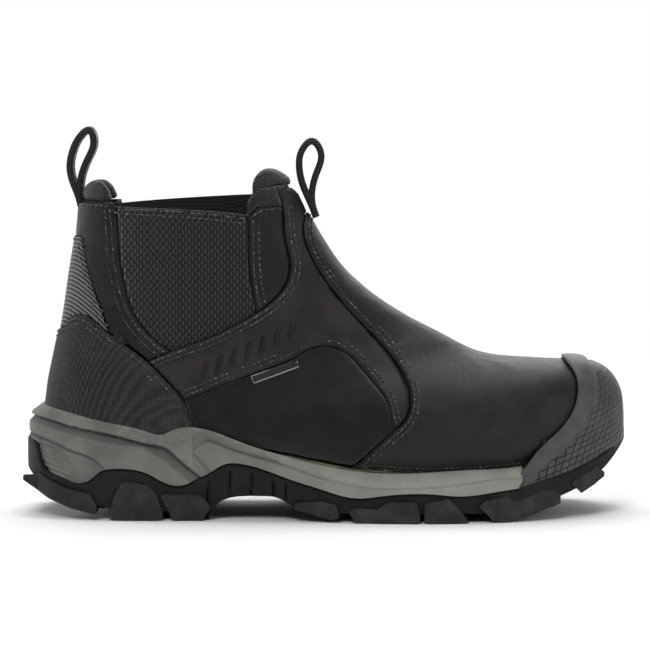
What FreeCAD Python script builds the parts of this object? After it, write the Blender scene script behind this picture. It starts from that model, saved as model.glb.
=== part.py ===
import FreeCAD, Part
import math
import os
from FreeCAD import Vector

os.makedirs("parts", exist_ok=True)

# Pull-on steel-toe work boot, right foot, millimetres.
# +X runs from heel to toe, -Y is the lateral (outer) side, +Z is up, the tread stands on Z = 0.

# ---- driving sizes ------------------------------------------------------------------------
boot_length = 310.0          # outsole, heel to toe
ball_width = 108.0           # outsole across the ball of the foot
boot_height = 195.0          # floor to the top of the rear pull loop
panel_inner = 3.8            # depth of the inside face of the leather panels under the vamp face
lining_inner = 7.8           # depth of the inside face of the bootie lining
quarter_drop = 0.8           # how far each layer lies under the vamp face
side_drop = 1.6
stay_drop = 1.3
gore_drop = 2.3
patch_drop = 0.6
bumper_rise = 2.0            # toe bumper thickness outside the vamp
bead_rise = 2.8              # rolled bead on the bumper edge
cap_thickness = 1.8          # steel toe cap sheet
counter_thickness = 1.5      # moulded heel counter
board_edge = 1.5             # upturned edge of the strobel board inside the feather line
footbed_thickness = 5.5
footbed_cloth = 0.8
footbed_gap = 0.5            # clearance under the removable footbed
footbed_room = 4.0           # clearance around its edge, so that the heel end lifts past the lining
footbed_front = 134.0        # front end of the footbed
tag_drop = 0.5               # face of the sewn tag under the vamp face
pad_depth = 11.0             # inside face of the collar pads
rear_pad_drop = 3.2          # outside face of the rear collar pad
webbing_width = 15.0         # pull loop webbing
webbing_thickness = 2.2
shank_width = 18.0
shank_thickness = 1.4
shank_drop = 0.6             # top of the shank under the foot line
shank_ends = (-104.0, -5.0)
cap_lift = 12.0              # lower edge of the toe cap above the foot line
counter_lift = 10.0          # lower edge of the heel counter above the foot line
rim_inset = 4.6              # midsole rim, set in from the sole outline
band_inset = 2.4             # midsole band under it
pocket_clearance = 0.05      # air between a sheet-metal insert and its pocket
lug_depth = 5.0
lug_draft = 1.6              # slope of the tread block sides
far = 150.0                  # half length of cutting prisms across the boot

# The tables below are drawn for a 310 x 108 x 195 mm boot and stretched to the sizes above.
drawn_length = 310.0
drawn_width = 108.0
drawn_height = 195.0
along = boot_length / drawn_length
across = ball_width / drawn_width
upward = boot_height / drawn_height

# ---- the last: sections from above the collar, round the heel, to the toe tip --------------
# back/bottom point x, z; front/top point x, z; half width; centre line y;
# share of the section height at which it is widest; upper and lower roundness
drawn_stations = [
    (-126.5, 186.0, -22.0, 186.0, 34.0, 0.0, 0.50, 2.5, 2.3),
    (-127.0, 162.0, -13.5, 164.0, 34.5, 0.0, 0.50, 2.5, 2.3),
    (-128.8, 141.0, -3.5, 144.0, 35.0, 0.0, 0.49, 2.4, 2.3),
    (-132.0, 121.0, 8.5, 126.0, 35.5, 0.0, 0.48, 2.3, 2.3),
    (-135.0, 101.0, 20.0, 115.0, 36.0, -0.5, 0.46, 2.2, 2.3),
    (-139.0, 82.0, 31.0, 106.8, 37.0, -1.0, 0.43, 2.1, 2.3),
    (-142.4, 64.0, 41.5, 100.4, 38.5, -1.5, 0.40, 2.0, 2.4),
    (-142.5, 48.0, 51.0, 95.4, 39.0, -2.0, 0.38, 2.0, 2.6),
    (-131.0, 37.0, 60.0, 90.8, 41.0, -2.5, 0.38, 2.0, 3.0),
    (-102.0, 36.0, 68.5, 86.3, 42.5, -2.5, 0.38, 2.0, 3.2),
    (-66.0, 34.5, 77.0, 82.4, 45.5, -2.0, 0.38, 2.1, 3.4),
    (-28.0, 29.0, 87.0, 79.8, 48.0, -1.0, 0.38, 2.2, 3.6),
    (12.0, 21.0, 97.0, 78.6, 49.5, 0.5, 0.38, 2.3, 3.8),
    (50.0, 18.5, 106.0, 77.9, 49.0, 2.0, 0.38, 2.35, 3.8),
    (82.0, 19.0, 116.0, 77.4, 45.0, 3.2, 0.38, 2.4, 3.6),
    (108.0, 21.5, 126.0, 76.8, 38.5, 4.2, 0.39, 2.4, 3.2),
    (127.0, 23.5, 135.5, 75.2, 31.0, 4.8, 0.41, 2.4, 2.8),
    (140.5, 28.5, 144.2, 71.0, 22.0, 5.0, 0.44, 2.3, 2.5),
    (148.6, 36.0, 149.6, 63.5, 12.5, 5.0, 0.48, 2.2, 2.3),
    (151.6, 45.0, 151.8, 55.0, 5.0, 5.0, 0.50, 2.0, 2.0),
]
station_scale = (along, upward, along, upward, across, across, 1.0, 1.0, 1.0)
stations = [tuple(v * k for v, k in zip(row, station_scale)) for row in drawn_stations]
sections_per_layer = 46
half_points = 20


def spline_value(rows, t):
    """Catmull-Rom through a list of equal tuples, t in station numbers."""
    last = len(rows) - 1
    i = min(int(t), last - 1)
    u = t - i
    p1 = rows[i]
    p2 = rows[i + 1]
    p0 = rows[i - 1] if i > 0 else [2 * a - b for a, b in zip(p1, p2)]
    p3 = rows[i + 2] if i + 2 <= last else [2 * b - a for a, b in zip(p1, p2)]
    out = []
    for a, b, c, d in zip(p0, p1, p2, p3):
        out.append(b + 0.5 * u * (c - a + u * (2 * a - 5 * b + 4 * c - d + u * (3 * (b - c) + d - a))))
    return out


def section_frame(t, depth):
    """Bottom point, top point and half width of a section moved inwards by depth."""
    step = 0.02
    last = len(stations) - 1
    here = spline_value(stations, t)
    before = spline_value(stations, max(t - step, 0.0))
    after = spline_value(stations, min(t + step, last))
    bottom = (here[0], here[1])
    top = (here[2], here[3])
    db = (after[0] - before[0], after[1] - before[1])
    dt = (after[2] - before[2], after[3] - before[3])
    lb = math.hypot(*db)
    lt = math.hypot(*dt)
    travel = 0.5 * (lb + lt)
    slope = (after[4] - before[4]) / travel
    bottom = (bottom[0] - depth * db[1] / lb, bottom[1] + depth * db[0] / lb)
    top = (top[0] + depth * dt[1] / lt, top[1] - depth * dt[0] / lt)
    width = here[4] - depth / math.sqrt(1.0 + slope * slope)
    return bottom, top, width, here


def section_half(t, side, depth):
    """Evenly spaced points down one side of a section, from the top or front to the bottom or back."""
    bottom, top, width, here = section_frame(t, depth)
    share = here[6]
    fine = 240
    path = []
    for k in range(fine + 1):
        angle = math.pi * k / fine
        c = math.cos(angle)
        s = math.sin(angle)
        if k in (0, fine):
            s = 0.0
        power = 2.0 / (here[7] if c >= 0 else here[8])
        reach = abs(c) ** power
        height = share + (1 - share) * reach if c >= 0 else share - share * reach
        path.append((height, side * width * abs(s) ** power))
    length = math.hypot(top[0] - bottom[0], top[1] - bottom[1])
    run = [0.0]
    for k in range(fine):
        step_a = (path[k + 1][0] - path[k][0]) * length
        step_b = path[k + 1][1] - path[k][1]
        run.append(run[-1] + math.hypot(step_a, step_b))
    points = []
    k = 0
    for j in range(half_points + 1):
        goal = run[-1] * j / half_points
        while k < fine - 1 and run[k + 1] < goal:
            k += 1
        share_k = (goal - run[k]) / (run[k + 1] - run[k])
        height = path[k][0] + share_k * (path[k + 1][0] - path[k][0])
        sideways = path[k][1] + share_k * (path[k + 1][1] - path[k][1])
        points.append(Vector(
            bottom[0] + (top[0] - bottom[0]) * height,
            here[5] + sideways,
            bottom[1] + (top[1] - bottom[1]) * height,
        ))
    return points


layer_store = {}


def filled_last(depth):
    """Solid body inside the layer surface at this depth: one wrapped skin and two flat ends."""
    if depth not in layer_store:
        last = len(stations) - 1
        grid = []
        for i in range(sections_per_layer):
            t = last * i / (sections_per_layer - 1.0)
            ring = section_half(t, 1.0, depth)[::-1] + section_half(t, -1.0, depth)[1:]
            ring[-1] = ring[0]
            grid.append(ring)
        skin = Part.BSplineSurface()
        skin.interpolate(grid)
        side = skin.toShape()
        faces = [side]
        for edge in side.Edges:
            if edge.isClosed():
                faces.append(Part.Face(Part.Wire([edge])))
        shell = Part.makeShell(faces)
        shell.sewShape()
        solid = Part.makeSolid(shell)
        if solid.Volume < 0:
            solid.reverse()
        layer_store[depth] = solid
    return layer_store[depth]


# ---- side-view outlines (x, z); each list of three or more points is one smooth curve -------
heel_cover_edge = [(-160, 88), (-146, 90), (-137, 93.5), (-130, 100), (-124, 102.4), (-117, 99.4),
                   (-110.8, 94.6), (-101, 88), (-90, 80.2), (-80.5, 71), (-71.5, 60.5), (-66.5, 49),
                   (-62.5, 38), (-60, 26)]
vamp_edge = [(-8.8, 153.5), (-9.8, 144), (-5, 130), (5.5, 114), (22, 95.5), (36.5, 78.5), (42.5, 64),
             (40.3, 52), (34.4, 46), (13.5, 25.5), (2, 12)]
quarter_lower = [(40, 42), (34, 48), (31, 60.3), (25, 69.5), (15, 81), (6.3, 87), (-4, 87.8),
                 (-14.1, 83.1), (-38.3, 73.4), (-71.5, 60.2), (-84, 55)]
quarter_upper = [(-104, 73), (-90, 80.2), (-78.5, 85.2), (-57.7, 92.7), (-42, 100.4), (-27, 109.8),
                 (-18.4, 119.5), (-16.2, 129), (-18.8, 142), (-19.2, 154), (-22.8, 166.8)]
patch_edge = [(-124.6, 141.5), (-122.5, 129.5), (-118.8, 116.3), (-113.5, 102.3), (-108, 86)]
gore_seam = [(-107.5, 159.2), (-106, 148), (-105.4, 136), (-103.2, 121), (-98.5, 106), (-91, 95.5),
             (-78.5, 85.2)]
stay_edge = [(-37.4, 152.3), (-37.5, 140), (-37.2, 126), (-36.4, 118), (-34.9, 110), (-33, 101)]
gore_top_lateral = [(-112, 156.9), (-92, 156.3), (-62, 154.9), (-37.4, 152.3)]
gore_top_medial = [(-112, 156.9), (-92, 158.2), (-62, 160.2), (-37.4, 161.5)]
stay_top_lateral = [(-37.4, 152.3), (-32.6, 157.6), (-5, 158)]
stay_top_medial = [(-37.4, 161.5), (-32.6, 163.0), (-5, 163.0)]
collar_line = [(-37.6, 150.5), (-37.2, 160.5), (-33.8, 165), (-27, 167.4), (-20, 168), (-15, 165.2),
               (-10, 160), (-2, 154)]
front_pad_top = [(-2, 154), (-9, 163), (-14.5, 168.2), (-22, 173.2), (-29.3, 175.3), (-34.8, 172.6),
                 (-36.8, 164), (-37.6, 150.5)]
rear_pad_top = [(-126, 159.2), (-123.2, 165.3), (-118.5, 169.4), (-113.2, 169.2), (-109, 165),
                (-107.5, 159.2)]
bumper_edge = [(119, 90), (121.6, 80), (126, 73.5), (127.6, 65), (124.4, 53.5), (114.5, 42),
               (107, 35.2), (101, 27), (95.5, 16), (93, 6)]
bead_edge = [(133, 90), (135.6, 77), (136.6, 65.4), (134, 54.6), (128, 43.8), (118, 34.3), (110, 29),
             (103.5, 20), (100, 6)]
bumper_bottom = [(88, 13.6), (97, 16.6), (111, 20.6), (124.5, 24.2), (138, 29.5), (146.5, 34.9),
                 (152, 40), (160, 49)]
midsole_rim = [(-162, 56.5), (-146, 55.2), (-133, 53.6), (-107.4, 48.9), (-90, 45.4), (-81, 43.8),
               (-77, 45.6), (-72, 47.2), (-62.5, 47), (-43, 40.5), (-18, 32.2), (13.5, 25.5),
               (36, 24.2), (78, 25.9), (97, 26.3), (118, 30)]
band_line = [(-162, 50), (-148, 49.2), (-138, 47.4), (-120, 42.6), (-89, 36.5), (-84, 33.6),
             (-76, 27.6), (-67, 20)]
sole_joint = [(-162, 38), (-147.5, 37.4), (-144, 30), (-140, 23.5), (-133, 20.2), (-124.5, 18.3),
              (-119, 19.8), (-112, 25), (-107, 26), (-88, 23.2), (-79.8, 18.8), (-70, 18.2),
              (-66, 20), (-59, 23.4), (-49.5, 28.8), (-43.4, 29), (-18, 21.5), (-1.5, 16.5),
              (15, 12.6), (28, 13.8), (57, 14.6), (65, 13.8), (88, 15.8), (98, 17)]
tread_heel = [(-162, 27), (-150, 16.5), (-140, 10.5), (-128, 6.0), (-114, 2.6), (-102, 0.0)]
tread_arch = [(-58, 0.0), (-54, 8.0), (-46, 11.4), (-34, 12.0), (-24, 11.2), (-15, 6.0), (-4, 2.4),
              (6, 0.0)]
tread_toe = [(92, 0.0), (103, 3.2), (117, 7.8), (129, 12.4), (141, 19.5), (150, 28), (160, 40)]

# plan outline of the outsole (x, y): lateral side heel to toe, then medial side back
sole_plan = [(-155, 0), (-150.5, -19), (-137, -34), (-112, -41.5), (-78, -42.5), (-46, -43),
             (-15, -46.5), (15, -51.5), (42, -54), (70, -52.5), (98, -46), (122, -36), (141, -21.5),
             (152, -6), (155, 7), (151, 20), (138, 34), (116, 45.5), (90, 52), (62, 54),
             (35, 51.5), (8, 45.5), (-20, 40.5), (-50, 38.5), (-80, 39.5), (-112, 40.5), (-137, 33.5),
             (-150.5, 19)]

# side-view outlines of the webbing loops: root, up the outer strand, over, down the inner strand
rear_loop_line = [(-125.6, 161.2), (-128.2, 168), (-129.9, 176), (-127.9, 186), (-123.8, 192.8),
                  (-120.2, 195.2), (-117.8, 190.5), (-120.2, 181.5), (-123.4, 174), (-125.6, 161.2)]
front_loop_line = [(-6.6, 156.2), (-11.6, 168), (-13.2, 177), (-11.6, 185), (-6.6, 189.4),
                   (-2.2, 184), (-4.2, 173.5), (-6.6, 156.2)]

# tread blocks: rear edge x, front edge x; the same ranges serve both edges of the sole
edge_lugs = [(-152, -117), (-107, -83), (-77, -60), (-15, 5), (13, 43), (47, 70), (77, 113),
             (118, 143)]
middle_lugs = [(-128, -112), (-104, -86), (-80, -64), (-8, 8), (16, 34), (42, 60), (68, 86),
               (94, 112)]
arch_ribs = [(-56, -50), (-46, -40), (-36, -30), (-26, -20)]
edge_lug_inner = 25.0        # distance of the edge blocks from the sole centre line
middle_lug_half = 17.0
arch_rib_half = 30.0
high_lug_top = 26.0          # blocks under the raised heel and toe
low_lug_top = 14.0
rib_top = 18.0


def face_from(runs):
    """Flat side-view face from drawn runs of (x, z) points; three or more points make a curve."""
    edges = []
    for run in runs:
        points = [Vector(x * along, 0, z * upward) for x, z in run]
        if len(points) == 2:
            edges.append(Part.makeLine(points[0], points[1]))
        else:
            curve = Part.BSplineCurve()
            curve.interpolate(points)
            edges.append(curve.toShape())
    return Part.Face(Part.Wire(edges))


def close_through(curve, corners):
    """A smooth curve closed by straight edges through the corners given."""
    runs = [curve]
    chain = [curve[-1]] + list(corners) + [curve[0]]
    for a, b in zip(chain, chain[1:]):
        runs.append([a, b])
    return face_from(runs)


def prism(face, y_from=-far, y_to=far):
    """The side-view face run straight across the boot."""
    block = face.copy()
    block.translate(Vector(0, y_from, 0))
    return block.extrude(Vector(0, y_to - y_from, 0))


def minus(face, *others):
    """Side-view face with the pieces lying over it taken away."""
    rest = face
    for other in others:
        rest = rest.cut(other)
    return rest


def layer(outer_depth, inner_depth, face, y_from=-far, y_to=far):
    """The part of one layer of the boot seen through a side-view face."""
    body = filled_last(outer_depth).common(prism(face, y_from, y_to))
    return body.cut(filled_last(inner_depth))


def save(name, shape):
    """Write the largest solid of a result, leaving crumbs behind."""
    solid = max(shape.Solids, key=lambda s: s.Volume)
    solid.exportStep("parts/" + name + ".step")


low = -30.0
high = 230.0
left = -200.0
right = 200.0

heel_face = close_through(heel_cover_edge, [(-60, low), (left, low), (left, 88)])
vamp_face = close_through(vamp_edge, [(2, low), (right, low), (right, 153.5)])
quarter_runs = [
    quarter_lower,
    [quarter_lower[-1], (-104, 60)],
    [(-104, 60), quarter_upper[0]],
    quarter_upper,
    [quarter_upper[-1], (-14, 165.2)],
    [(-14, 165.2), (right, 165.2)],
    [(right, 165.2), (right, 42)],
    [(right, 42), quarter_lower[0]],
]
quarter_face = minus(face_from(quarter_runs), vamp_face, heel_face)
patch_face = minus(close_through(patch_edge, [(left, 86), (left, 141.5)]), heel_face)
backstay_face = minus(
    close_through(gore_seam, [(-78.5, 60), (left, 60), (left, 159.2)]),
    heel_face, patch_face, quarter_face)
above_collar = close_through(collar_line, [(-2, high), (left, high), (left, 150.5)])
pad_face = close_through(front_pad_top, [(-37.6, 140), (-2, 140)])
pad_face = pad_face.common(above_collar)


def stay_face(stay_top):
    runs = [
        stay_edge if stay_top is stay_top_lateral else [stay_top[0], stay_edge[0]],
        [stay_edge[-1], (-5, 101)],
        [(-5, 101), stay_top[-1]],
        [stay_top[-1], stay_top[1]],
        [stay_top[1], stay_top[0]],
    ]
    if stay_top is not stay_top_lateral:
        runs.insert(1, stay_edge)
    return minus(face_from(runs), quarter_face, vamp_face)


def gore_face(gore_top, stay):
    loose = close_through(gore_top, [(-20, gore_top[-1][1]), (-20, 90), (-78, 75), (-112, 90)])
    return minus(loose, backstay_face, stay, quarter_face, heel_face, patch_face)


def mesh_face(stay):
    loose = face_from([[(-37.4, 151), (-37.4, 175)], [(-37.4, 175), (-12, 175)],
                       [(-12, 175), (-12, 150)], [(-12, 150), (-37.4, 151)]])
    return minus(loose, stay, quarter_face, vamp_face, above_collar)


# ---- upper panels -------------------------------------------------------------------------
sides = (("lateral", -far, 0.0, gore_top_lateral, stay_top_lateral),
         ("medial", 0.0, far, gore_top_medial, stay_top_medial))

bottom_line = [(row[0], row[1]) for row in drawn_stations[8:19]]


def bottom_strip(rise_from, rise_to, x_from=left, x_to=right):
    """Side-view face of a sheet along the foot bottom, between two real heights above it."""
    line = [p for p in bottom_line if x_from < p[0] < x_to]
    start = (max(x_from, left), line[0][1])
    finish = (min(x_to, right), line[-1][1])
    line = [start] + line + [finish]
    lower = [(x, z + rise_from / upward) for x, z in line]
    upper = [(x, z + rise_to / upward) for x, z in line]
    runs = []
    for a, b in zip(lower, lower[1:]):
        runs.append([a, b])
    runs.append([lower[-1], upper[-1]])
    upper = upper[::-1]
    for a, b in zip(upper, upper[1:]):
        runs.append([a, b])
    runs.append([upper[-1], lower[0]])
    return face_from(runs)


under_feather = bottom_strip(low, panel_inner + board_edge)

save("vamp", layer(0.0, panel_inner, minus(vamp_face, under_feather)))
save("heel_cover", layer(0.0, panel_inner, minus(heel_face, under_feather)))
save("achilles_patch", layer(patch_drop, panel_inner, patch_face))
save("backstay", layer(stay_drop, panel_inner, backstay_face))
side_loose = face_from([[(-95, low), (60, low)], [(60, low), (60, 95)], [(60, 95), (-95, 95)],
                        [(-95, 95), (-95, low)]])
side_face = minus(side_loose, quarter_face, vamp_face, heel_face, under_feather, backstay_face,
                  patch_face)
for name, y_from, y_to, gore_top, stay_top in sides:
    stay = stay_face(stay_top)
    save(name + "_quarter", layer(quarter_drop, panel_inner, quarter_face, y_from, y_to))
    save(name + "_side_panel", layer(side_drop, panel_inner, side_face, y_from, y_to))
    save(name + "_front_stay", layer(stay_drop, panel_inner, stay, y_from, y_to))
    save(name + "_gore", layer(gore_drop, panel_inner, gore_face(gore_top, stay), y_from, y_to))
    save(name + "_collar_mesh", layer(side_drop, panel_inner, mesh_face(stay), y_from, y_to))

tag_face = face_from([[(-37.9, 73.3), (-13.5, 81.3)], [(-13.5, 81.3), (-12.2, 76.8)],
                      [(-12.2, 76.8), (-36.0, 68.3)], [(-36.0, 68.3), (-37.9, 73.3)]])
save("side_tag", layer(tag_drop, side_drop, tag_face.cut(quarter_face), -far, 0.0))

# ---- collar pads, lining and the parts hidden in the upper ----------------------------------
rear_pad_face = close_through(rear_pad_top, [])
save("rear_collar_pad", layer(rear_pad_drop, pad_depth, rear_pad_face))
save("front_collar_pad", layer(side_drop, pad_depth, pad_face))

cap_rear_edge = [(88, 100), (84, 60), (80, 34)]
strip_rear_edge = [(79, 100), (75, 60), (71, 34)]
counter_edge = [(-150, 104), (-120, 98), (-98, 78), (-84, 52)]
under_cap = bottom_strip(low, cap_lift)
cap_face = minus(close_through(cap_rear_edge, [(84, 24), (right, 24), (right, 100)]), under_cap)
cap_depth = panel_inner + cap_thickness
steel_cap = layer(panel_inner + pocket_clearance, cap_depth, cap_face)
strip_face = close_through(strip_rear_edge, cap_rear_edge[::-1])
strip_face = minus(strip_face, cap_face, under_cap)
edge_strip = layer(panel_inner + pocket_clearance, cap_depth, strip_face)
counter_face = close_through(counter_edge, [(-84, 20), (-150, 20)])
counter_face = minus(counter_face, bottom_strip(low, counter_lift))
counter_depth = panel_inner + counter_thickness
counter = layer(panel_inner + pocket_clearance, counter_depth, counter_face)
save("steel_toe_cap", steel_cap)
save("toe_cap_edge_strip", edge_strip)
save("heel_counter", counter)

lining = filled_last(panel_inner).cut(filled_last(lining_inner))
pocket = pocket_clearance
pocket_face = close_through(strip_rear_edge, [(71, 24), (right, 24), (right, 100)])
pocket_face = minus(pocket_face, under_cap)
cap_pocket = filled_last(panel_inner - 1).cut(filled_last(cap_depth + pocket))
lining = lining.cut(cap_pocket.common(prism(pocket_face)))
counter_pocket = filled_last(panel_inner - 1).cut(filled_last(counter_depth + pocket))
lining = lining.cut(counter_pocket.common(prism(counter_face)))
above_rear = face_from([[(left, 159.1), (-107.5, 159.1)], [(-107.5, 159.1), (-107.5, high)],
                        [(-107.5, high), (left, high)], [(left, high), (left, 159.1)]])
before_gore = face_from([[(-37.6, low), (right, low)], [(right, low), (right, high)],
                         [(right, high), (-37.6, high)], [(-37.6, high), (-37.6, low)]])
lining = lining.cut(prism(above_rear)).cut(prism(above_collar.common(before_gore)))
for y_from, y_to, top_line in ((-far, 0.0, gore_top_lateral), (0.0, far, gore_top_medial)):
    edge = [(-107.5, top_line[0][1])] + list(top_line[1:3]) + [(-37.6, top_line[-1][1])]
    above_gore = close_through(edge, [(-37.6, high), (-107.5, high)])
    lining = lining.cut(prism(above_gore, y_from, y_to))
one_side = (2 * right, far, high + 100)
save("lateral_lining", lining.common(Part.makeBox(*one_side, Vector(left, -far, low))))
save("medial_lining", lining.common(Part.makeBox(*one_side, Vector(left, 0, low))))

shank_low = -shank_drop - shank_thickness
shank_strip = bottom_strip(shank_low, -shank_drop, *shank_ends)
shank = prism(shank_strip, -shank_width / 2, shank_width / 2)
channel_strip = bottom_strip(shank_low - pocket, pocket - shank_drop,
                             shank_ends[0] - pocket, shank_ends[1] + pocket)
shank_channel = prism(channel_strip, -shank_width / 2 - pocket, shank_width / 2 + pocket)
save("shank", shank)
save("insole_board", layer(0.0, panel_inner, under_feather).cut(shank_channel))

# ---- removable footbed ----------------------------------------------------------------------
footbed_body = filled_last(lining_inner + footbed_room).copy()
footbed_body.translate(Vector(0, 0, footbed_gap - footbed_room))
footbed_top = lining_inner + footbed_gap + footbed_thickness
save("footbed", footbed_body.common(prism(bottom_strip(low, footbed_top, left, footbed_front))))
cloth_strip = bottom_strip(footbed_top, footbed_top + footbed_cloth, left, footbed_front)
save("footbed_top_cloth", footbed_body.common(prism(cloth_strip)))

# ---- pull loops -----------------------------------------------------------------------------
def webbing_loop(path, root_share):
    """Webbing folded into a loop: two strands joined at the root, with a finger gap between."""
    curve = Part.BSplineCurve()
    curve.interpolate([Vector(x * along, 0, z * upward) for x, z in path])
    count = 14
    outer = []
    gap = []
    first = curve.FirstParameter
    span = curve.LastParameter - first
    for i in range(count + 1):
        share = i / float(count)
        u = first + span * share
        p = curve.value(u)
        d = curve.tangent(u)[0]
        n = Vector(-d.z, 0, d.x).normalize() * (webbing_thickness / 2)
        outer.append(((p.x + n.x) / along, (p.z + n.z) / upward))
        if root_share < share < 1.0 - root_share:
            gap.append(((p.x - n.x) / along, (p.z - n.z) / upward))
    band = close_through(outer, []).cut(close_through(gap, []))
    return prism(band, -webbing_width / 2, webbing_width / 2)


save("rear_pull_loop", webbing_loop(rear_loop_line, 0.12))
save("front_pull_loop", webbing_loop(front_loop_line, 0.14))

# ---- toe bumper -------------------------------------------------------------------------------
bumper_face = minus(close_through(bumper_edge, [(93, low), (right, low), (right, 90)]),
                    close_through(bumper_bottom, [(right, 49), (right, low), (88, low)]))
bead_strip = bumper_face.cut(close_through(bead_edge, [(100, low), (right, low), (right, 90)]))
bead = layer(-bead_rise, 0.0, bead_strip)
field = layer(-bumper_rise, 0.0, bumper_face)
save("toe_bumper", field.fuse(bead))


# ---- midsole and outsole ------------------------------------------------------------------------
def sole_block(inset):
    """The plan outline of the sole, set in by a margin, run upwards past the whole sole."""
    points = []
    plan = [(x * along, y * across) for x, y in sole_plan]
    count = len(plan)
    for i, (x, y) in enumerate(plan):
        ahead = plan[(i + 1) % count]
        behind = plan[i - 1]
        run = (ahead[0] - behind[0], ahead[1] - behind[1])
        length = math.hypot(*run)
        points.append(Vector(x - inset * run[1] / length, y + inset * run[0] / length, 0))
    curve = Part.BSplineCurve()
    curve.interpolate(points, PeriodicFlag=True)
    return Part.Face(Part.Wire([curve.toShape()])).extrude(Vector(0, 0, far))


midsole_front = close_through([(104, 40), (100.5, 29), (96.5, 20), (94, 8)],
                              [(left, low), (left, 90), (104, 90)])
under_rim = close_through(midsole_rim, [(right, 30), (right, low), (left, low), (left, 56.5)])
under_band = close_through(band_line, [(-67, low), (left, low), (left, 50)])
under_joint = close_through(sole_joint, [(98, low), (left, low), (left, 38)])
midsole_view = under_rim.cut(under_joint).common(midsole_front)
rim_block = sole_block(rim_inset).common(prism(midsole_view.cut(under_band)))
band_block = sole_block(band_inset).common(prism(midsole_view.common(under_band)))
midsole = rim_block.fuse(band_block).removeSplitter()
for filled in (filled_last(0.0).common(prism(vamp_face.fuse(heel_face).fuse(under_feather))),
               filled_last(side_drop)):
    midsole = midsole.cut(filled)
save("midsole", midsole.cut(shank_channel))

tread_runs = [tread_heel, [tread_heel[-1], tread_arch[0]], tread_arch, [tread_arch[-1], tread_toe[0]],
              tread_toe]
above_tread = face_from(tread_runs + [[tread_toe[-1], (right, 40)], [(right, 40), (right, high)],
                                      [(right, high), (left, high)], [(left, high), (left, 27)],
                                      [(left, 27), tread_heel[0]]])
web_line = above_tread.copy()
web_line.translate(Vector(0, 0, lug_depth))
toe_zone = close_through([(101, 31), (97, 20), (94, 4)], [(94, low), (right, low), (right, 31)])
toe_top = close_through(bumper_bottom, [(right, 49), (right, low), (88, low)])
sole_view = under_joint.cut(toe_zone).fuse(toe_top.common(toe_zone))
sole = sole_block(0.0)
outsole = sole.common(prism(sole_view.common(web_line).removeSplitter()))
slab_view = sole_view.common(above_tread).removeSplitter()


def rectangle(x_from, x_to, y_from, y_to, margin, z):
    """Closed level rectangle in the sole's drawn sizes, set in by a real margin."""
    x0 = x_from * along + margin
    x1 = x_to * along - margin
    y0 = y_from * across + margin
    y1 = y_to * across - margin
    corners = [Vector(x0, y0, z), Vector(x1, y0, z), Vector(x1, y1, z), Vector(x0, y1, z)]
    return Part.makePolygon(corners + [corners[0]])


def block(x_from, x_to, y_from, y_to, z_top):
    """A tread block with drafted sides."""
    lower = rectangle(x_from, x_to, y_from, y_to, lug_draft, -1)
    upper = rectangle(x_from, x_to, y_from, y_to, 0.0, z_top * upward)
    return Part.makeLoft([lower, upper], True, True)


blocks = []
for x_from, x_to in edge_lugs:
    top = high_lug_top if x_from < -110 or x_from > 100 else low_lug_top
    blocks.append(block(x_from, x_to, -70.0, -edge_lug_inner, top))
    blocks.append(block(x_from, x_to, edge_lug_inner, 70.0, top))
for x_from, x_to in middle_lugs:
    blocks.append(block(x_from, x_to, -middle_lug_half, middle_lug_half, low_lug_top))
for x_from, x_to in arch_ribs:
    blocks.append(block(x_from, x_to, -arch_rib_half, arch_rib_half, rib_top))
lugs = blocks[0].fuse(blocks[1:]).common(sole).common(prism(slab_view))
outsole = outsole.fuse(lugs).removeSplitter()
save("outsole", outsole.cut(filled_last(0.0)))
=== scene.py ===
import math

import bpy
import numpy as np
from mathutils import Matrix, Vector, noise
from mathutils.kdtree import KDTree


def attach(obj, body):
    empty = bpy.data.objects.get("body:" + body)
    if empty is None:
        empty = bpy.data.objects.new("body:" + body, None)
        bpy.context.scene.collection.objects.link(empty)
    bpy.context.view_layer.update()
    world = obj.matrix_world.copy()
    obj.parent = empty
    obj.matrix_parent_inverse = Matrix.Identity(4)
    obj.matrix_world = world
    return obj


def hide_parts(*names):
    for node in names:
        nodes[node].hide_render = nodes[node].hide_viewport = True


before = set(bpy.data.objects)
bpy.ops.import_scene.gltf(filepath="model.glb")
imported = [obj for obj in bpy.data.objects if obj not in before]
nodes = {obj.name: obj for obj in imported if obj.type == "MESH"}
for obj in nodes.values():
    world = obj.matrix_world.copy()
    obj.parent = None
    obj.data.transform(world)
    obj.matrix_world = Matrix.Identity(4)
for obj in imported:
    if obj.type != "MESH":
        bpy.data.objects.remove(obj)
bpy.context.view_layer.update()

MM = 0.001

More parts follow.
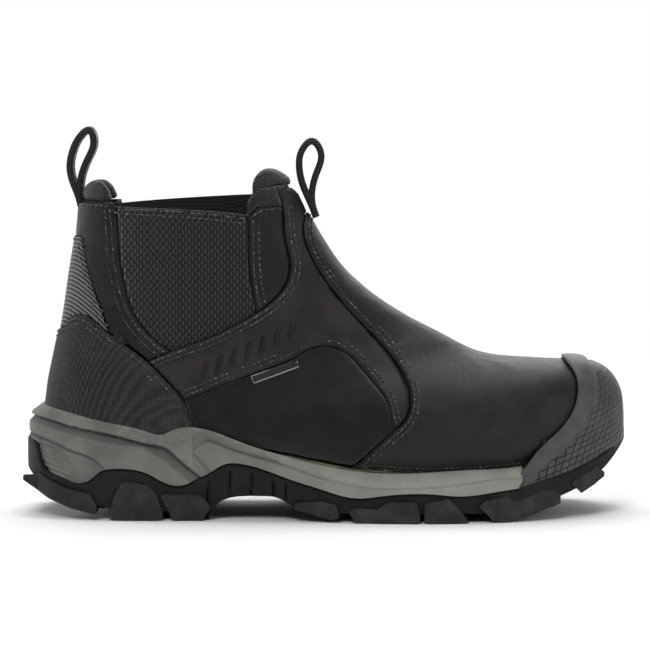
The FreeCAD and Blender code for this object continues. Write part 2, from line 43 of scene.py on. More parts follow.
# ---- the last, the same stations as the solid parts, millimetres -----------------------------
# back/bottom x, z; front/top x, z; half width; centre line y; height share; upper, lower roundness
STATIONS = np.array([
    (-126.5, 186.0, -22.0, 186.0, 34.0, 0.0, 0.50, 2.5, 2.3),
    (-127.0, 162.0, -13.5, 164.0, 34.5, 0.0, 0.50, 2.5, 2.3),
    (-128.8, 141.0, -3.5, 144.0, 35.0, 0.0, 0.49, 2.4, 2.3),
    (-132.0, 121.0, 8.5, 126.0, 35.5, 0.0, 0.48, 2.3, 2.3),
    (-135.0, 101.0, 20.0, 115.0, 36.0, -0.5, 0.46, 2.2, 2.3),
    (-139.0, 82.0, 31.0, 106.8, 37.0, -1.0, 0.43, 2.1, 2.3),
    (-142.4, 64.0, 41.5, 100.4, 38.5, -1.5, 0.40, 2.0, 2.4),
    (-142.5, 48.0, 51.0, 95.4, 39.0, -2.0, 0.38, 2.0, 2.6),
    (-131.0, 37.0, 60.0, 90.8, 41.0, -2.5, 0.38, 2.0, 3.0),
    (-102.0, 36.0, 68.5, 86.3, 42.5, -2.5, 0.38, 2.0, 3.2),
    (-66.0, 34.5, 77.0, 82.4, 45.5, -2.0, 0.38, 2.1, 3.4),
    (-28.0, 29.0, 87.0, 79.8, 48.0, -1.0, 0.38, 2.2, 3.6),
    (12.0, 21.0, 97.0, 78.6, 49.5, 0.5, 0.38, 2.3, 3.8),
    (50.0, 18.5, 106.0, 77.9, 49.0, 2.0, 0.38, 2.35, 3.8),
    (82.0, 19.0, 116.0, 77.4, 45.0, 3.2, 0.38, 2.4, 3.6),
    (108.0, 21.5, 126.0, 76.8, 38.5, 4.2, 0.39, 2.4, 3.2),
    (127.0, 23.5, 135.5, 75.2, 31.0, 4.8, 0.41, 2.4, 2.8),
    (140.5, 28.5, 144.2, 71.0, 22.0, 5.0, 0.44, 2.3, 2.5),
    (148.6, 36.0, 149.6, 63.5, 12.5, 5.0, 0.48, 2.2, 2.3),
    (151.6, 45.0, 151.8, 55.0, 5.0, 5.0, 0.50, 2.0, 2.0),
])
ROWS = 400                     # sections along the boot
HALF = 120                     # points from the top line to the bottom line of a section
PANEL_INNER = 3.8
DROP = {"vamp": 0.0, "heel_cover": 0.0, "quarter": 0.8, "side_panel": 1.6, "front_stay": 1.3,
        "backstay": 1.3, "gore": 2.3, "achilles_patch": 0.6, "collar_mesh": 1.6}


def station(t):
    """Catmull-Rom value of the station table at the parameters t."""
    last = len(STATIONS) - 1
    i = np.clip(t.astype(int), 0, last - 1)
    u = (t - i)[:, None]
    ext = np.vstack([2 * STATIONS[0] - STATIONS[1], STATIONS, 2 * STATIONS[-1] - STATIONS[-2]])
    a, b, c, d = ext[i], ext[i + 1], ext[i + 2], ext[i + 3]
    return b + 0.5 * u * (c - a + u * (2 * a - 5 * b + 4 * c - d + u * (3 * (b - c) + d - a)))


def last_grid(depth):
    """Points of the layer at a depth: (ROWS, 2 * HALF + 1, 3), column HALF is the top line."""
    last = len(STATIONS) - 1
    t = np.linspace(0, last, ROWS)
    here = station(t)
    ahead = station(np.minimum(t + 0.02, last))
    behind = station(np.maximum(t - 0.02, 0))
    step = ahead - behind
    lb = np.hypot(step[:, 0], step[:, 1])
    lt = np.hypot(step[:, 2], step[:, 3])
    slope = step[:, 4] / (0.5 * (lb + lt))
    bottom = here[:, 0:2] + depth * np.stack([-step[:, 1], step[:, 0]], 1) / lb[:, None]
    top = here[:, 2:4] + depth * np.stack([step[:, 3], -step[:, 2]], 1) / lt[:, None]
    width = here[:, 4] - depth / np.sqrt(1 + slope ** 2)
    fine = 240
    angle = np.linspace(0, np.pi, fine + 1)
    c, s = np.cos(angle), np.abs(np.sin(angle))
    s[0] = s[-1] = 0.0
    grid = np.zeros((ROWS, 2 * HALF + 1, 3))
    for i in range(ROWS):
        share, up, down = here[i, 6:9]
        power = 2.0 / np.where(c >= 0, up, down)
        reach = np.abs(c) ** power
        along = np.where(c >= 0, share + (1 - share) * reach, share - share * reach)
        across = width[i] * s ** power
        length = np.hypot(*(top[i] - bottom[i]))
        run = np.concatenate([[0], np.cumsum(np.hypot(np.diff(along) * length, np.diff(across)))])
        goal = np.linspace(0, run[-1], HALF + 1)
        al = np.interp(goal, run, along)
        ac = np.interp(goal, run, across)
        xz = bottom[i] + al[:, None] * (top[i] - bottom[i])
        for side, cols in ((-1, slice(HALF, None, -1)), (1, slice(HALF, None, 1))):
            pts = np.stack([xz[:, 0], here[i, 5] + side * ac, xz[:, 1]], 1)
            if side < 0:
                grid[i, HALF::-1] = pts
            else:
                grid[i, HALF:] = pts
    return grid


GRID = last_grid(0.0)
INWARD = (last_grid(4.0) - GRID) / 4.0


def at(uv, depth=0.0):
    """Point of the last at fractional grid places uv, moved inwards by a depth."""
    u = np.clip(uv[:, 0], 0, ROWS - 1.001)
    v = np.clip(uv[:, 1], 0, 2 * HALF - 0.001)
    i, j = u.astype(int), v.astype(int)
    a, b = (u - i)[:, None], (v - j)[:, None]

    def mix(g):
        return ((1 - a) * (1 - b) * g[i, j] + a * (1 - b) * g[i + 1, j]
                + (1 - a) * b * g[i, j + 1] + a * b * g[i + 1, j + 1])
    depth = np.broadcast_to(depth, (len(uv),))[:, None]
    return mix(GRID) + depth * mix(INWARD)


# ---- side-view outlines (x, z), as in the solid parts ------------------------------------------
def smooth(points, spacing=0.8):
    """Natural cubic spline through the points, sampled evenly."""
    p = np.array(points, float)
    if len(p) < 3:
        return p
    h = np.hypot(*np.diff(p, axis=0).T)
    n = len(p)
    a = np.zeros((n, n))
    r = np.zeros((n, 2))
    a[0, 0] = a[-1, -1] = 1
    for k in range(1, n - 1):
        a[k, k - 1:k + 2] = h[k - 1], 2 * (h[k - 1] + h[k]), h[k]
        r[k] = 3 * ((p[k + 1] - p[k]) / h[k] - (p[k] - p[k - 1]) / h[k - 1])
    m = np.linalg.solve(a, r)
    knots = np.concatenate([[0], np.cumsum(h)])
    u = np.linspace(0, knots[-1], max(int(knots[-1] / spacing), 8))
    k = np.clip(np.searchsorted(knots, u, side="right") - 1, 0, n - 2)
    w = (u - knots[k])[:, None]
    hk = h[k][:, None]
    slope = (p[k + 1] - p[k]) / hk - hk * (2 * m[k] + m[k + 1]) / 3
    return p[k] + w * slope + w * w * m[k] + w ** 3 * (m[k + 1] - m[k]) / (3 * hk)


HEEL_EDGE = smooth([(-160, 88), (-146, 90), (-137, 93.5), (-130, 100), (-124, 102.4), (-117, 99.4),
                    (-110.8, 94.6), (-101, 88), (-90, 80.2), (-80.5, 71), (-71.5, 60.5), (-66.5, 49),
                    (-62.5, 38), (-60, 26)])
VAMP_EDGE = smooth([(-8.8, 153.5), (-9.8, 144), (-5, 130), (5.5, 114), (22, 95.5), (36.5, 78.5),
                    (42.5, 64), (40.3, 52), (34.4, 46), (13.5, 25.5), (2, 12)])
QUARTER_LOW = smooth([(40, 42), (34, 48), (31, 60.3), (25, 69.5), (15, 81), (6.3, 87), (-4, 87.8),
                      (-14.1, 83.1), (-38.3, 73.4), (-71.5, 60.2), (-84, 55)])
QUARTER_UP = smooth([(-104, 73), (-90, 80.2), (-78.5, 85.2), (-57.7, 92.7), (-42, 100.4),
                     (-27, 109.8), (-18.4, 119.5), (-16.2, 129), (-18.8, 142), (-19.2, 154),
                     (-22.8, 166.8)])
PATCH_EDGE = smooth([(-124.6, 141.5), (-122.5, 129.5), (-118.8, 116.3), (-113.5, 102.3), (-108, 86)])
GORE_SEAM = smooth([(-107.5, 159.2), (-106, 148), (-105.4, 136), (-103.2, 121), (-98.5, 106),
                    (-91, 95.5), (-78.5, 85.2)])
STAY_EDGE = smooth([(-37.4, 152.3), (-37.5, 140), (-37.2, 126), (-36.4, 118), (-34.9, 110), (-33, 101)])
GORE_TOP = {-1: smooth([(-112, 156.9), (-92, 156.3), (-62, 154.9), (-37.4, 152.3)]),
            1: smooth([(-112, 156.9), (-92, 158.2), (-62, 160.2), (-37.4, 161.5)])}
STAY_TOP = {-1: [(-37.4, 152.3), (-32.6, 157.6), (-5, 158)],
            1: [(-37.4, 161.5), (-32.6, 163.0), (-5, 163.0)]}
COLLAR_LINE = smooth([(-37.6, 150.5), (-37.2, 160.5), (-33.8, 165), (-27, 167.4), (-20, 168),
                      (-15, 165.2), (-10, 160), (-2, 154)])
BUMPER_EDGE = smooth([(119, 90), (121.6, 80), (126, 73.5), (127.6, 65), (124.4, 53.5), (114.5, 42),
                      (107, 35.2), (101, 27), (95.5, 16), (93, 6)])
BEAD_EDGE = smooth([(133, 90), (135.6, 77), (136.6, 65.4), (134, 54.6), (128, 43.8), (118, 34.3),
                    (110, 29), (103.5, 20), (100, 6)])
BUMPER_LOW = smooth([(88, 13.6), (97, 16.6), (111, 20.6), (124.5, 24.2), (138, 29.5), (146.5, 34.9),
                     (152, 40), (160, 49)])
FOOT_LINE = STATIONS[8:19, 0:2]


def foot_bottom(x):
    """Height of the last's bottom line at x."""
    return np.interp(x, FOOT_LINE[:, 0], FOOT_LINE[:, 1])


def poly(*runs):
    return np.vstack([np.array(r, float) for r in runs])


LEFT, RIGHT, LOW, HIGH = -200, 200, -30, 230
REGIONS = [
    ("none", poly(COLLAR_LINE, [(-2, HIGH), (-37.6, HIGH)])),
    ("heel_cover", poly(HEEL_EDGE, [(-60, LOW), (LEFT, LOW), (LEFT, 88)])),
    ("vamp", poly(VAMP_EDGE, [(2, LOW), (RIGHT, LOW), (RIGHT, 153.5)])),
    ("quarter", poly(QUARTER_LOW, [(-104, 60)], QUARTER_UP, [(-14, 165.2), (RIGHT, 165.2), (RIGHT, 42)])),
    ("achilles_patch", poly(PATCH_EDGE, [(LEFT, 86), (LEFT, 141.5)])),
    ("backstay", poly(GORE_SEAM, [(-78.5, 60), (LEFT, 60), (LEFT, 159.2)])),
    ("front_stay", None),
    ("collar_mesh", poly([(-37.4, 151), (-37.4, 175), (-12, 175), (-12, 150)])),
    ("gore", None),
    ("side_panel", poly([(-95, LOW), (60, LOW), (60, 95), (-95, 95)])),
]
NAMES = [n for n, _ in REGIONS]


def region_outline(name, side):
    """The loose side-view outline of a region on one side of the boot."""
    if name == "front_stay":
        top = STAY_TOP[side]
        return poly(STAY_EDGE if side < 0 else poly([top[0]], STAY_EDGE), [(-5, 101), top[2], top[1]])
    if name == "gore":
        top = GORE_TOP[side]
        return poly(top, [(-20, top[-1][1]), (-20, 90), (-78, 75), (-112, 90)])
    return dict(REGIONS)[name]


def inside(points, outline):
    """Even-odd test of many (x, z) points against one outline."""
    x, z = points[:, 0], points[:, 1]
    hit = np.zeros(len(points), bool)
    a = outline
    b = np.roll(outline, -1, axis=0)
    for (x0, z0), (x1, z1) in zip(a, b):
        if z0 == z1:
            continue
        cross = ((z0 > z) != (z1 > z)) & (x < (x1 - x0) * (z - z0) / (z1 - z0) + x0)
        hit ^= cross
    return hit


def region_of(uv):
    """Index of the region seen at each fractional grid place, -1 where there is no panel."""
    p = at(uv)
    xz = p[:, [0, 2]]
    found = np.full(len(uv), -1)
    open_ = np.ones(len(uv), bool)
    for side, on_side in ((-1, uv[:, 1] <= HALF), (1, uv[:, 1] > HALF)):
        for k, name in enumerate(NAMES):
            pick = np.where(open_ & on_side)[0]
            hit = pick[inside(xz[pick], region_outline(name, side))]
            found[hit] = k if name != "none" else -1
            open_[hit] = False
    buried = xz[:, 1] < foot_bottom(xz[:, 0]) + PANEL_INNER + 1.5
    found[buried] = -1
    return found


def snapped_faces(classify, rows=(0, ROWS), cols=(0, 2 * HALF + 1), stride=1):
    """Grid places moved onto the region borders, and the faces of each region."""
    iu = np.arange(rows[0], rows[1], stride)
    iv = np.arange(cols[0], cols[1], stride)
    nu, nv = len(iu), len(iv)
    uv = np.stack(np.meshgrid(iu, iv, indexing="ij"), -1).reshape(-1, 2).astype(float)
    tag = classify(uv)
    index = np.arange(nu * nv).reshape(nu, nv)
    moved = np.full(nu * nv, 9.0)
    place = uv.copy()
    pairs = [(index[:-1], index[1:]), (index[:, :-1], index[:, 1:]),
             (index[:-1, :-1], index[1:, 1:]), (index[1:, :-1], index[:-1, 1:])]
    for a, b in pairs:
        a, b = a.ravel(), b.ravel()
        cut = tag[a] != tag[b]
        a, b = a[cut], b[cut]
        lo, hi = np.zeros(len(a)), np.ones(len(a))
        for _ in range(9):
            mid = 0.5 * (lo + hi)
            same = classify(uv[a] + mid[:, None] * (uv[b] - uv[a])) == tag[a]
            lo, hi = np.where(same, mid, lo), np.where(same, hi, mid)
        mid = 0.5 * (lo + hi)
        spot = uv[a] + mid[:, None] * (uv[b] - uv[a])
        for who, far in ((a, mid), (b, 1 - mid)):
            near = far <= 0.5
            for w, f, s in zip(who[near], far[near], spot[near]):
                if f < moved[w]:
                    moved[w] = f
                    place[w] = s
    quads = np.stack([index[:-1, :-1], index[1:, :-1], index[1:, 1:], index[:-1, 1:]], -1).reshape(-1, 4)
    on_border = moved < 9.0
    busy = on_border[quads].any(1)
    plain = quads[~busy]
    faces = [(f, t) for f, t in zip(plain.tolist(), tag[plain[:, 0]])]
    rim = quads[busy]
    tris = np.concatenate([rim[:, [0, 1, 2]], rim[:, [0, 2, 3]]])
    alt = np.concatenate([rim[:, [0, 1, 3]], rim[:, [1, 2, 3]]])
    free = np.where(on_border, -5, tag)

    def mixed(t):
        m = free[t]
        top = m.max(1)
        low = np.where(m == -5, 99, m).min(1)
        return (low != 99) & (low != top)
    n = len(rim)
    bad = mixed(tris[:n]) | mixed(tris[n:])
    use = np.where(np.concatenate([bad, bad])[:, None], alt, tris)
    centre = place[use].mean(1)
    tags = classify(centre)
    faces += [(f, t) for f, t in zip(use.tolist(), tags)]
    return place, faces


# ---- mesh helpers ------------------------------------------------------------------------------
def mesh_object(name, verts_mm, faces, smooth_shade=True):
    mesh = bpy.data.meshes.new(name)
    mesh.from_pydata((np.asarray(verts_mm) * MM).tolist(), [], faces)
    mesh.update()
    obj = bpy.data.objects.new(name, mesh)
    bpy.context.scene.collection.objects.link(obj)
    if smooth_shade:
        mesh.polygons.foreach_set("use_smooth", [True] * len(mesh.polygons))
    return obj


def only(obj):
    bpy.ops.object.select_all(action="DESELECT")
    bpy.context.view_layer.objects.active = obj
    obj.select_set(True)


def fix_normals(obj):
    """Turns every face of a closed mesh outwards."""
    only(obj)
    bpy.ops.object.mode_set(mode="EDIT")
    bpy.ops.mesh.select_all(action="SELECT")
    bpy.ops.mesh.normals_make_consistent(inside=False)
    bpy.ops.object.mode_set(mode="OBJECT")


def modify(obj, kind, **settings):
    """Add a modifier and apply it."""
    only(obj)
    mod = obj.modifiers.new(kind, kind)
    for key, value in settings.items():
        setattr(mod, key, value)
    bpy.ops.object.modifier_apply(modifier=mod.name)


def point_attribute(obj, name, values):
    layer = obj.data.attributes.new(name, "FLOAT", "POINT")
    layer.data.foreach_set("value", np.asarray(values, np.float32))


def join(objs, name):
    bpy.ops.object.select_all(action="DESELECT")
    for o in objs:
        o.select_set(True)
    bpy.context.view_layer.objects.active = objs[0]
    if len(objs) > 1:
        bpy.ops.object.join()
    objs[0].name = name
    return objs[0]


def smoothstep(x, a, b):
    u = np.clip((x - a) / (b - a), 0, 1)
    return u * u * (3 - 2 * u)


# ---- sewn panels ---------------------------------------------------------------------------------
stride = 1
PLACE, FACES = snapped_faces(region_of, stride=stride)


def nearest_distance(points, targets):
    tree = KDTree(len(targets))
    for k, p in enumerate(targets):
        tree.insert(p, k)
    tree.balance()
    return np.array([tree.find(p)[2] for p in points])


def border_ids(faces):
    """Vertices on edges used by a single face."""
    count = {}
    for f in faces:
        for a, b in zip(f, f[1:] + f[:1]):
            key = (a, b) if a < b else (b, a)
            count[key] = count.get(key, 0) + 1
    return sorted({v for e, c in count.items() if c == 1 for v in e})


def shell(name, faces, place, drop, thickness, roll=0.7, relief=None, reshape=None):
    """A sheet of material lying on the last, with rolled edges and real thickness."""
    used = sorted({v for f in faces for v in f})
    renum = {v: k for k, v in enumerate(used)}
    faces = [[renum[v] for v in f] for f in faces]
    uv = place[used]
    flat = at(uv, drop)
    edge = nearest_distance(flat, flat[border_ids(faces)])
    rolled = np.clip(roll - edge, 0, roll)
    depth = drop + roll - np.sqrt(np.maximum(roll ** 2 - rolled ** 2, 0)) if roll else np.full(len(uv), drop)
    if relief is not None:
        depth = depth - relief(flat, edge)
    points = at(uv, depth)
    if reshape is not None:
        points = reshape(points)
    a, b, c = (points[[f[k] for f in faces]] for k in (0, 1, 2))
    out = at(uv, drop - 1.0) - flat
    facing = np.einsum("ij,ij->i", np.cross(b - a, c - a), out[[f[0] for f in faces]])
    faces = [f if s > 0 else f[::-1] for f, s in zip(faces, facing)]
    obj = mesh_object(name, points, faces)
    point_attribute(obj, "rim", edge)
    modify(obj, "SOLIDIFY", thickness=thickness * MM, offset=-1.0, use_even_offset=False)
    return obj


def fractal(points, scale, octaves=3):
    return np.array([noise.fractal(Vector(p) / scale, 0.8, 2.0, octaves) for p in points])


def leather_relief(amount, scale):
    def relief(points, edge):
        swell = 0.25 * smoothstep(edge, 0.0, 7.0)
        return swell + amount * fractal(points, scale)
    return relief


def puff_relief(height, reach):
    """A padded panel that swells between its seams."""
    def relief(points, edge):
        return height * np.sqrt(np.clip(edge / reach, 0, 1)) + 0.15 * fractal(points, 9.0)
    return relief


def faces_of(region, side=None):
    k = NAMES.index(region)
    pick = []
    for (f, t) in FACES:
        if t != k:
            continue
        if side is not None:
            v = sum(PLACE[i][1] for i in f) / len(f)
            if (v <= HALF) != (side < 0):
                continue
        pick.append(list(f))
    return pick


built = {}
for region, relief in (("vamp", leather_relief(0.18, 22.0)), ("heel_cover", leather_relief(0.05, 30.0)),
                       ("achilles_patch", leather_relief(0.05, 20.0)),
                       ("backstay", leather_relief(0.16, 12.0))):
    built[region] = shell(region + "_piece", faces_of(region), PLACE, DROP[region],
                          PANEL_INNER - DROP[region], relief=relief)
    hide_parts(region)
for side, word in ((-1, "lateral"), (1, "medial")):
    for region, relief in (("quarter", leather_relief(0.14, 16.0)), ("side_panel", puff_relief(0.5, 9.0)),
                           ("front_stay", leather_relief(0.12, 12.0)), ("gore", puff_relief(0.2, 5.0)),
                           ("collar_mesh", puff_relief(0.5, 4.0))):
        key = word + "_" + region
        built[key] = shell(key + "_piece", faces_of(region, side), PLACE, DROP[region],
                           PANEL_INNER - DROP[region], relief=relief)
        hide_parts(key)
for key, obj in built.items():
    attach(obj, "boot")


# ---- seams: rows of thread along the border of one panel over another ------------------------------
def seam_chains(top, others):
    """Ordered 3-D border lines between a panel and the ones it lies over, with the inward side."""
    k = NAMES.index(top)
    ks = {NAMES.index(o) if o != "none" else -1 for o in others}
    edges = {}
    for f, t in FACES:
        for a, b in zip(f, list(f[1:]) + [f[0]]):
            edges.setdefault((min(a, b), max(a, b)), []).append((t, f))
    links = {}
    owner = {}
    for (a, b), users in edges.items():
        if len(users) != 2:
            continue
        tags = {users[0][0], users[1][0]}
        if k in tags and (tags - {k}) and (tags - {k}) <= ks:
            links.setdefault(a, []).append(b)
            links.setdefault(b, []).append(a)
            mine = users[0][1] if users[0][0] == k else users[1][1]
            owner[a] = owner[b] = PLACE[list(mine)].mean(0)
    chains = []
    left = set(links)
    while left:
        ends = [v for v in left if len([w for w in links[v] if w in left]) <= 1]
        here = min(ends) if ends else min(left)
        chain = [here]
        left.discard(here)
        while True:
            onward = [w for w in links[here] if w in left]
            if not onward:
                break
            here = onward[0]
            chain.append(here)
            left.discard(here)
        if len(chain) > 8:
            chains.append((np.array([PLACE[v] for v in chain]), np.array([owner[v] for v in chain])))
    return chains


FLAT_GRID = GRID.reshape(-1, 3)
FLAT_IN = INWARD.reshape(-1, 3)
SURFACE = KDTree(len(FLAT_GRID) // 4 + 1)
for n, k in enumerate(range(0, len(FLAT_GRID), 4)):
    SURFACE.insert(FLAT_GRID[k], k)
SURFACE.balance()


def settle(points, depth):
    """Points brought onto the last at a depth, with the outward normal at each."""
    out, normals = [], []
    for p in points:
        _, k, _ = SURFACE.find(p)
        base, n = FLAT_GRID[k], -FLAT_IN[k]
        n = n / np.linalg.norm(n)
        q = p - n * np.dot(p - base, n)
        out.append(q - depth * n)
        normals.append(n)
    return np.array(out), np.array(normals)


def even(points, spacing):
    run = np.concatenate([[0], np.cumsum(np.linalg.norm(np.diff(points, axis=0), axis=1))])
    count = max(int(run[-1] / spacing), 2)
    goal = np.linspace(0, run[-1], count)
    return np.stack([np.interp(goal, run, points[:, k]) for k in range(3)], 1)


def relaxed(points, rounds):
    for _ in range(rounds):
        points = points.copy()
        points[1:-1] = 0.25 * points[:-2] + 0.5 * points[1:-1] + 0.25 * points[2:]
    return points


STITCH_RING = [(math.cos(a), math.sin(a)) for a in (math.pi * k / 3 for k in range(6))]
STITCH_RIBS = [(-1.0, 0.45), (-0.72, 0.92), (0.0, 1.0), (0.72, 0.92), (1.0, 0.45)]


def stitches(name, line, normals, pitch=2.9, length=2.2, width=0.74, height=0.62, skew=0.12):
    """One row of lock stitches as small rounded bars lying in the material."""
    verts, faces = [], []
    spots = even(line, pitch)
    tree = KDTree(len(line))
    for k, p in enumerate(line):
        tree.insert(p, k)
    tree.balance()
    for k, (p, q) in enumerate(zip(spots, spots[1:])):
        mid = 0.5 * (p + q)
        t = (q - p) / np.linalg.norm(q - p)
        n = normals[tree.find(mid)[1]]
        b = np.cross(n, t)
        b /= np.linalg.norm(b)
        t = t + skew * b
        base = len(verts)
        sink = 0.10 * height
        for along, size in STITCH_RIBS:
            droop = 0.45 * height * abs(along) ** 3
            for c, s in STITCH_RING:
                verts.append(mid + t * along * length / 2 + b * c * size * width / 2
                             + n * (s * size * height / 2 + sink - droop))
        rows = len(STITCH_RIBS)
        for r in range(rows - 1):
            for m in range(6):
                a0 = base + r * 6 + m
                a1 = base + r * 6 + (m + 1) % 6
                faces.append((a0, a1, a1 + 6, a0 + 6))
        faces.append(tuple(base + m for m in range(6))[::-1])
        faces.append(tuple(base + (rows - 1) * 6 + m for m in range(6)))
    return mesh_object(name, verts, faces)


def sew(name, top, others, offsets, trim=(1.5, 1.5), keep=None):
    """Rows of stitches inside the border of the top panel."""
    rows = []
    for c, (chain, owners) in enumerate(seam_chains(top, others)):
        line = relaxed(at(chain), 4)
        inner = at(owners)
        for off in offsets:
            pts, normal = settle(line, 0.0)
            t = np.gradient(pts, axis=0)
            b = np.cross(normal, t)
            b /= np.linalg.norm(b, axis=1)[:, None]
            sign = np.sign(np.median(np.einsum("ij,ij->i", b, inner - pts)))
            moved = relaxed(pts + sign * off * b, 6)
            fine = even(moved, 0.9)
            spare = [int(v / 0.9) for v in trim]
            fine = fine[spare[0]:len(fine) - spare[1]]
            if keep is not None:
                fine = fine[[keep(p) for p in fine]] if len(fine) else fine
            if len(fine) < 8:
                continue
            fine = relaxed(fine, 6)
            fine, normal = settle(fine, DROP[top] - 0.3)
            rows.append(stitches(f"{name}_{c}", fine, normal))
    if not rows:
        return None
    obj = join(rows, name)
    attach(obj, "boot")
    return obj


def above_rim(p):
    return p[2] > np.interp(p[0], RIM_LINE[:, 0], RIM_LINE[:, 1]) - 1.0


RIM_LINE = smooth([(-162, 56.5), (-146, 55.2), (-133, 53.6), (-107.4, 48.9), (-90, 45.4), (-81, 43.8),
                   (-77, 45.6), (-72, 47.2), (-62.5, 47), (-43, 40.5), (-18, 32.2), (13.5, 25.5),
                   (36, 24.2), (78, 25.9), (97, 26.3), (118, 30)])
UNDER_VAMP = ["quarter", "side_panel", "front_stay", "none"]
threads = [
    sew("vamp_thread", "vamp", UNDER_VAMP, (2.0, 4.3), keep=above_rim),
    sew("quarter_thread", "quarter", ["side_panel", "gore", "front_stay", "backstay"], (2.0, 4.3)),
    sew("heel_thread", "heel_cover", ["side_panel", "quarter", "backstay", "achilles_patch"], (2.0, 4.3),
        keep=above_rim),
    sew("backstay_thread", "backstay", ["gore"], (2.0, 5.0)),
    sew("backstay_top_thread", "backstay", ["none"], (1.8,)),
    sew("stay_thread", "front_stay", ["gore"], (2.0, 5.0)),
    sew("stay_top_thread", "front_stay", ["collar_mesh"], (1.8,)),
    sew("patch_thread", "achilles_patch", ["backstay"], (1.8,)),
    sew("gore_hem_thread", "gore", ["none"], (3.0,)),
]
threads = [t for t in threads if t]


# ---- sole outlines ---------------------------------------------------------------------------------
SOLE_PLAN = [(-155, 0), (-150.5, -19), (-137, -34), (-112, -41.5), (-78, -42.5), (-46, -43),
             (-15, -46.5), (15, -51.5), (42, -54), (70, -52.5), (98, -46), (122, -36), (141, -21.5),
             (152, -6), (155, 7), (151, 20), (138, 34), (116, 45.5), (90, 52), (62, 54),
             (35, 51.5), (8, 45.5), (-20, 40.5), (-50, 38.5), (-80, 39.5), (-112, 40.5), (-137, 33.5),
             (-150.5, 19)]
BAND_LINE = smooth([(-162, 51), (-148, 50.2), (-138, 48.6), (-120, 45.4), (-103, 42), (-86, 37.8),
                    (-80.5, 36.4), (-75, 32), (-62, 21.3), (-56, 16.5)])
BAND_LOW = smooth([(-162, 47), (-148, 46.6), (-138, 44.8), (-126, 42.2), (-103, 38.3), (-89, 35.7),
                   (-85, 33.2), (-77, 27), (-66.5, 18.4), (-60, 13.5)])
CREASE = smooth([(-162, 41.5), (-148, 40.0), (-137, 37.6), (-128.5, 34.6), (-120, 32.2),
                 (-115, 29.5), (-111, 25.5)])
FORE_LINE = smooth([(-67.5, 35.6), (-60, 40.2), (-49.4, 36.8), (-31.6, 31.4), (-5, 23.2), (10.5, 19.4),
                    (24, 17.6), (37, 17.5), (57, 18.5), (72, 20.1), (85.4, 21.8), (104, 21.6)])
JOINT = smooth([(-162, 38.4), (-152, 38.2), (-148, 34), (-146.6, 28), (-142, 22.6), (-133, 20.0),
                (-124.5, 18.3),
                (-119, 19.8), (-112, 25), (-107, 26), (-88, 23.2), (-79.8, 18.8), (-70, 18.2),
                (-66, 20), (-59, 23.4), (-49.5, 28.8), (-43.4, 29), (-18, 21.5), (-1.5, 16.5),
                (15, 12.6), (28, 13.8), (57, 14.6), (65, 13.8), (88, 15.8), (98, 17)])
TREAD = np.vstack([smooth([(-162, 27), (-150, 16.5), (-140, 10.5), (-128, 6.0), (-114, 2.6), (-102, 0.0)]),
                   smooth([(-58, 0.0), (-54, 8.0), (-46, 11.4), (-34, 12.0), (-24, 11.2), (-15, 6.0),
                           (-4, 2.4), (6, 0.0)]),
                   smooth([(92, 0.0), (103, 3.2), (117, 7.8), (129, 12.4), (141, 19.5), (150, 28),
                           (160, 40)])])


def level(line, x):
    return np.interp(x, line[:, 0], line[:, 1])


def closed_curve(points, spacing):
    """Smooth closed plan outline with its outward normals."""
    ring = np.array(points * 3, float)
    fine = smooth(ring, spacing / 2)
    n = len(fine) // 3
    fine = fine[n:2 * n]
    run = np.concatenate([[0], np.cumsum(np.hypot(*np.diff(np.vstack([fine, fine[:1]]), axis=0).T))])
    goal = np.linspace(0, run[-1], int(run[-1] / spacing))[:-1]
    loop = np.vstack([fine, fine[:1]])
    pts = np.stack([np.interp(goal, run, loop[:, k]) for k in (0, 1)], 1)
    t = np.roll(pts, -1, 0) - np.roll(pts, 1, 0)
    t /= np.hypot(*t.T)[:, None]
    return pts, np.stack([t[:, 1], -t[:, 0]], 1)


PLAN, PLAN_OUT = closed_curve(SOLE_PLAN, 0.8)


def upper_reach(x, z, sign):
    """Distance of the upper's outside face from the centre plane at x, z on one side."""
    if sign not in upper_reach.trees:
        keep = np.where(FLAT_GRID[:, 1] * sign > 0)[0]
        tree = KDTree(len(keep))
        for k in keep:
            tree.insert((FLAT_GRID[k][0], 0, FLAT_GRID[k][2]), k)
        tree.balance()
        upper_reach.trees[sign] = tree
    k = upper_reach.trees[sign].find((x, 0, z))[1]
    base, n = FLAT_GRID[k], -FLAT_IN[k]
    steep = n[1] if abs(n[1]) > 0.35 else math.copysign(0.35, n[1])
    slide = (n[0] * (x - base[0]) + n[2] * (z - base[2])) / steep
    return abs(base[1] - slide)


upper_reach.trees = {}


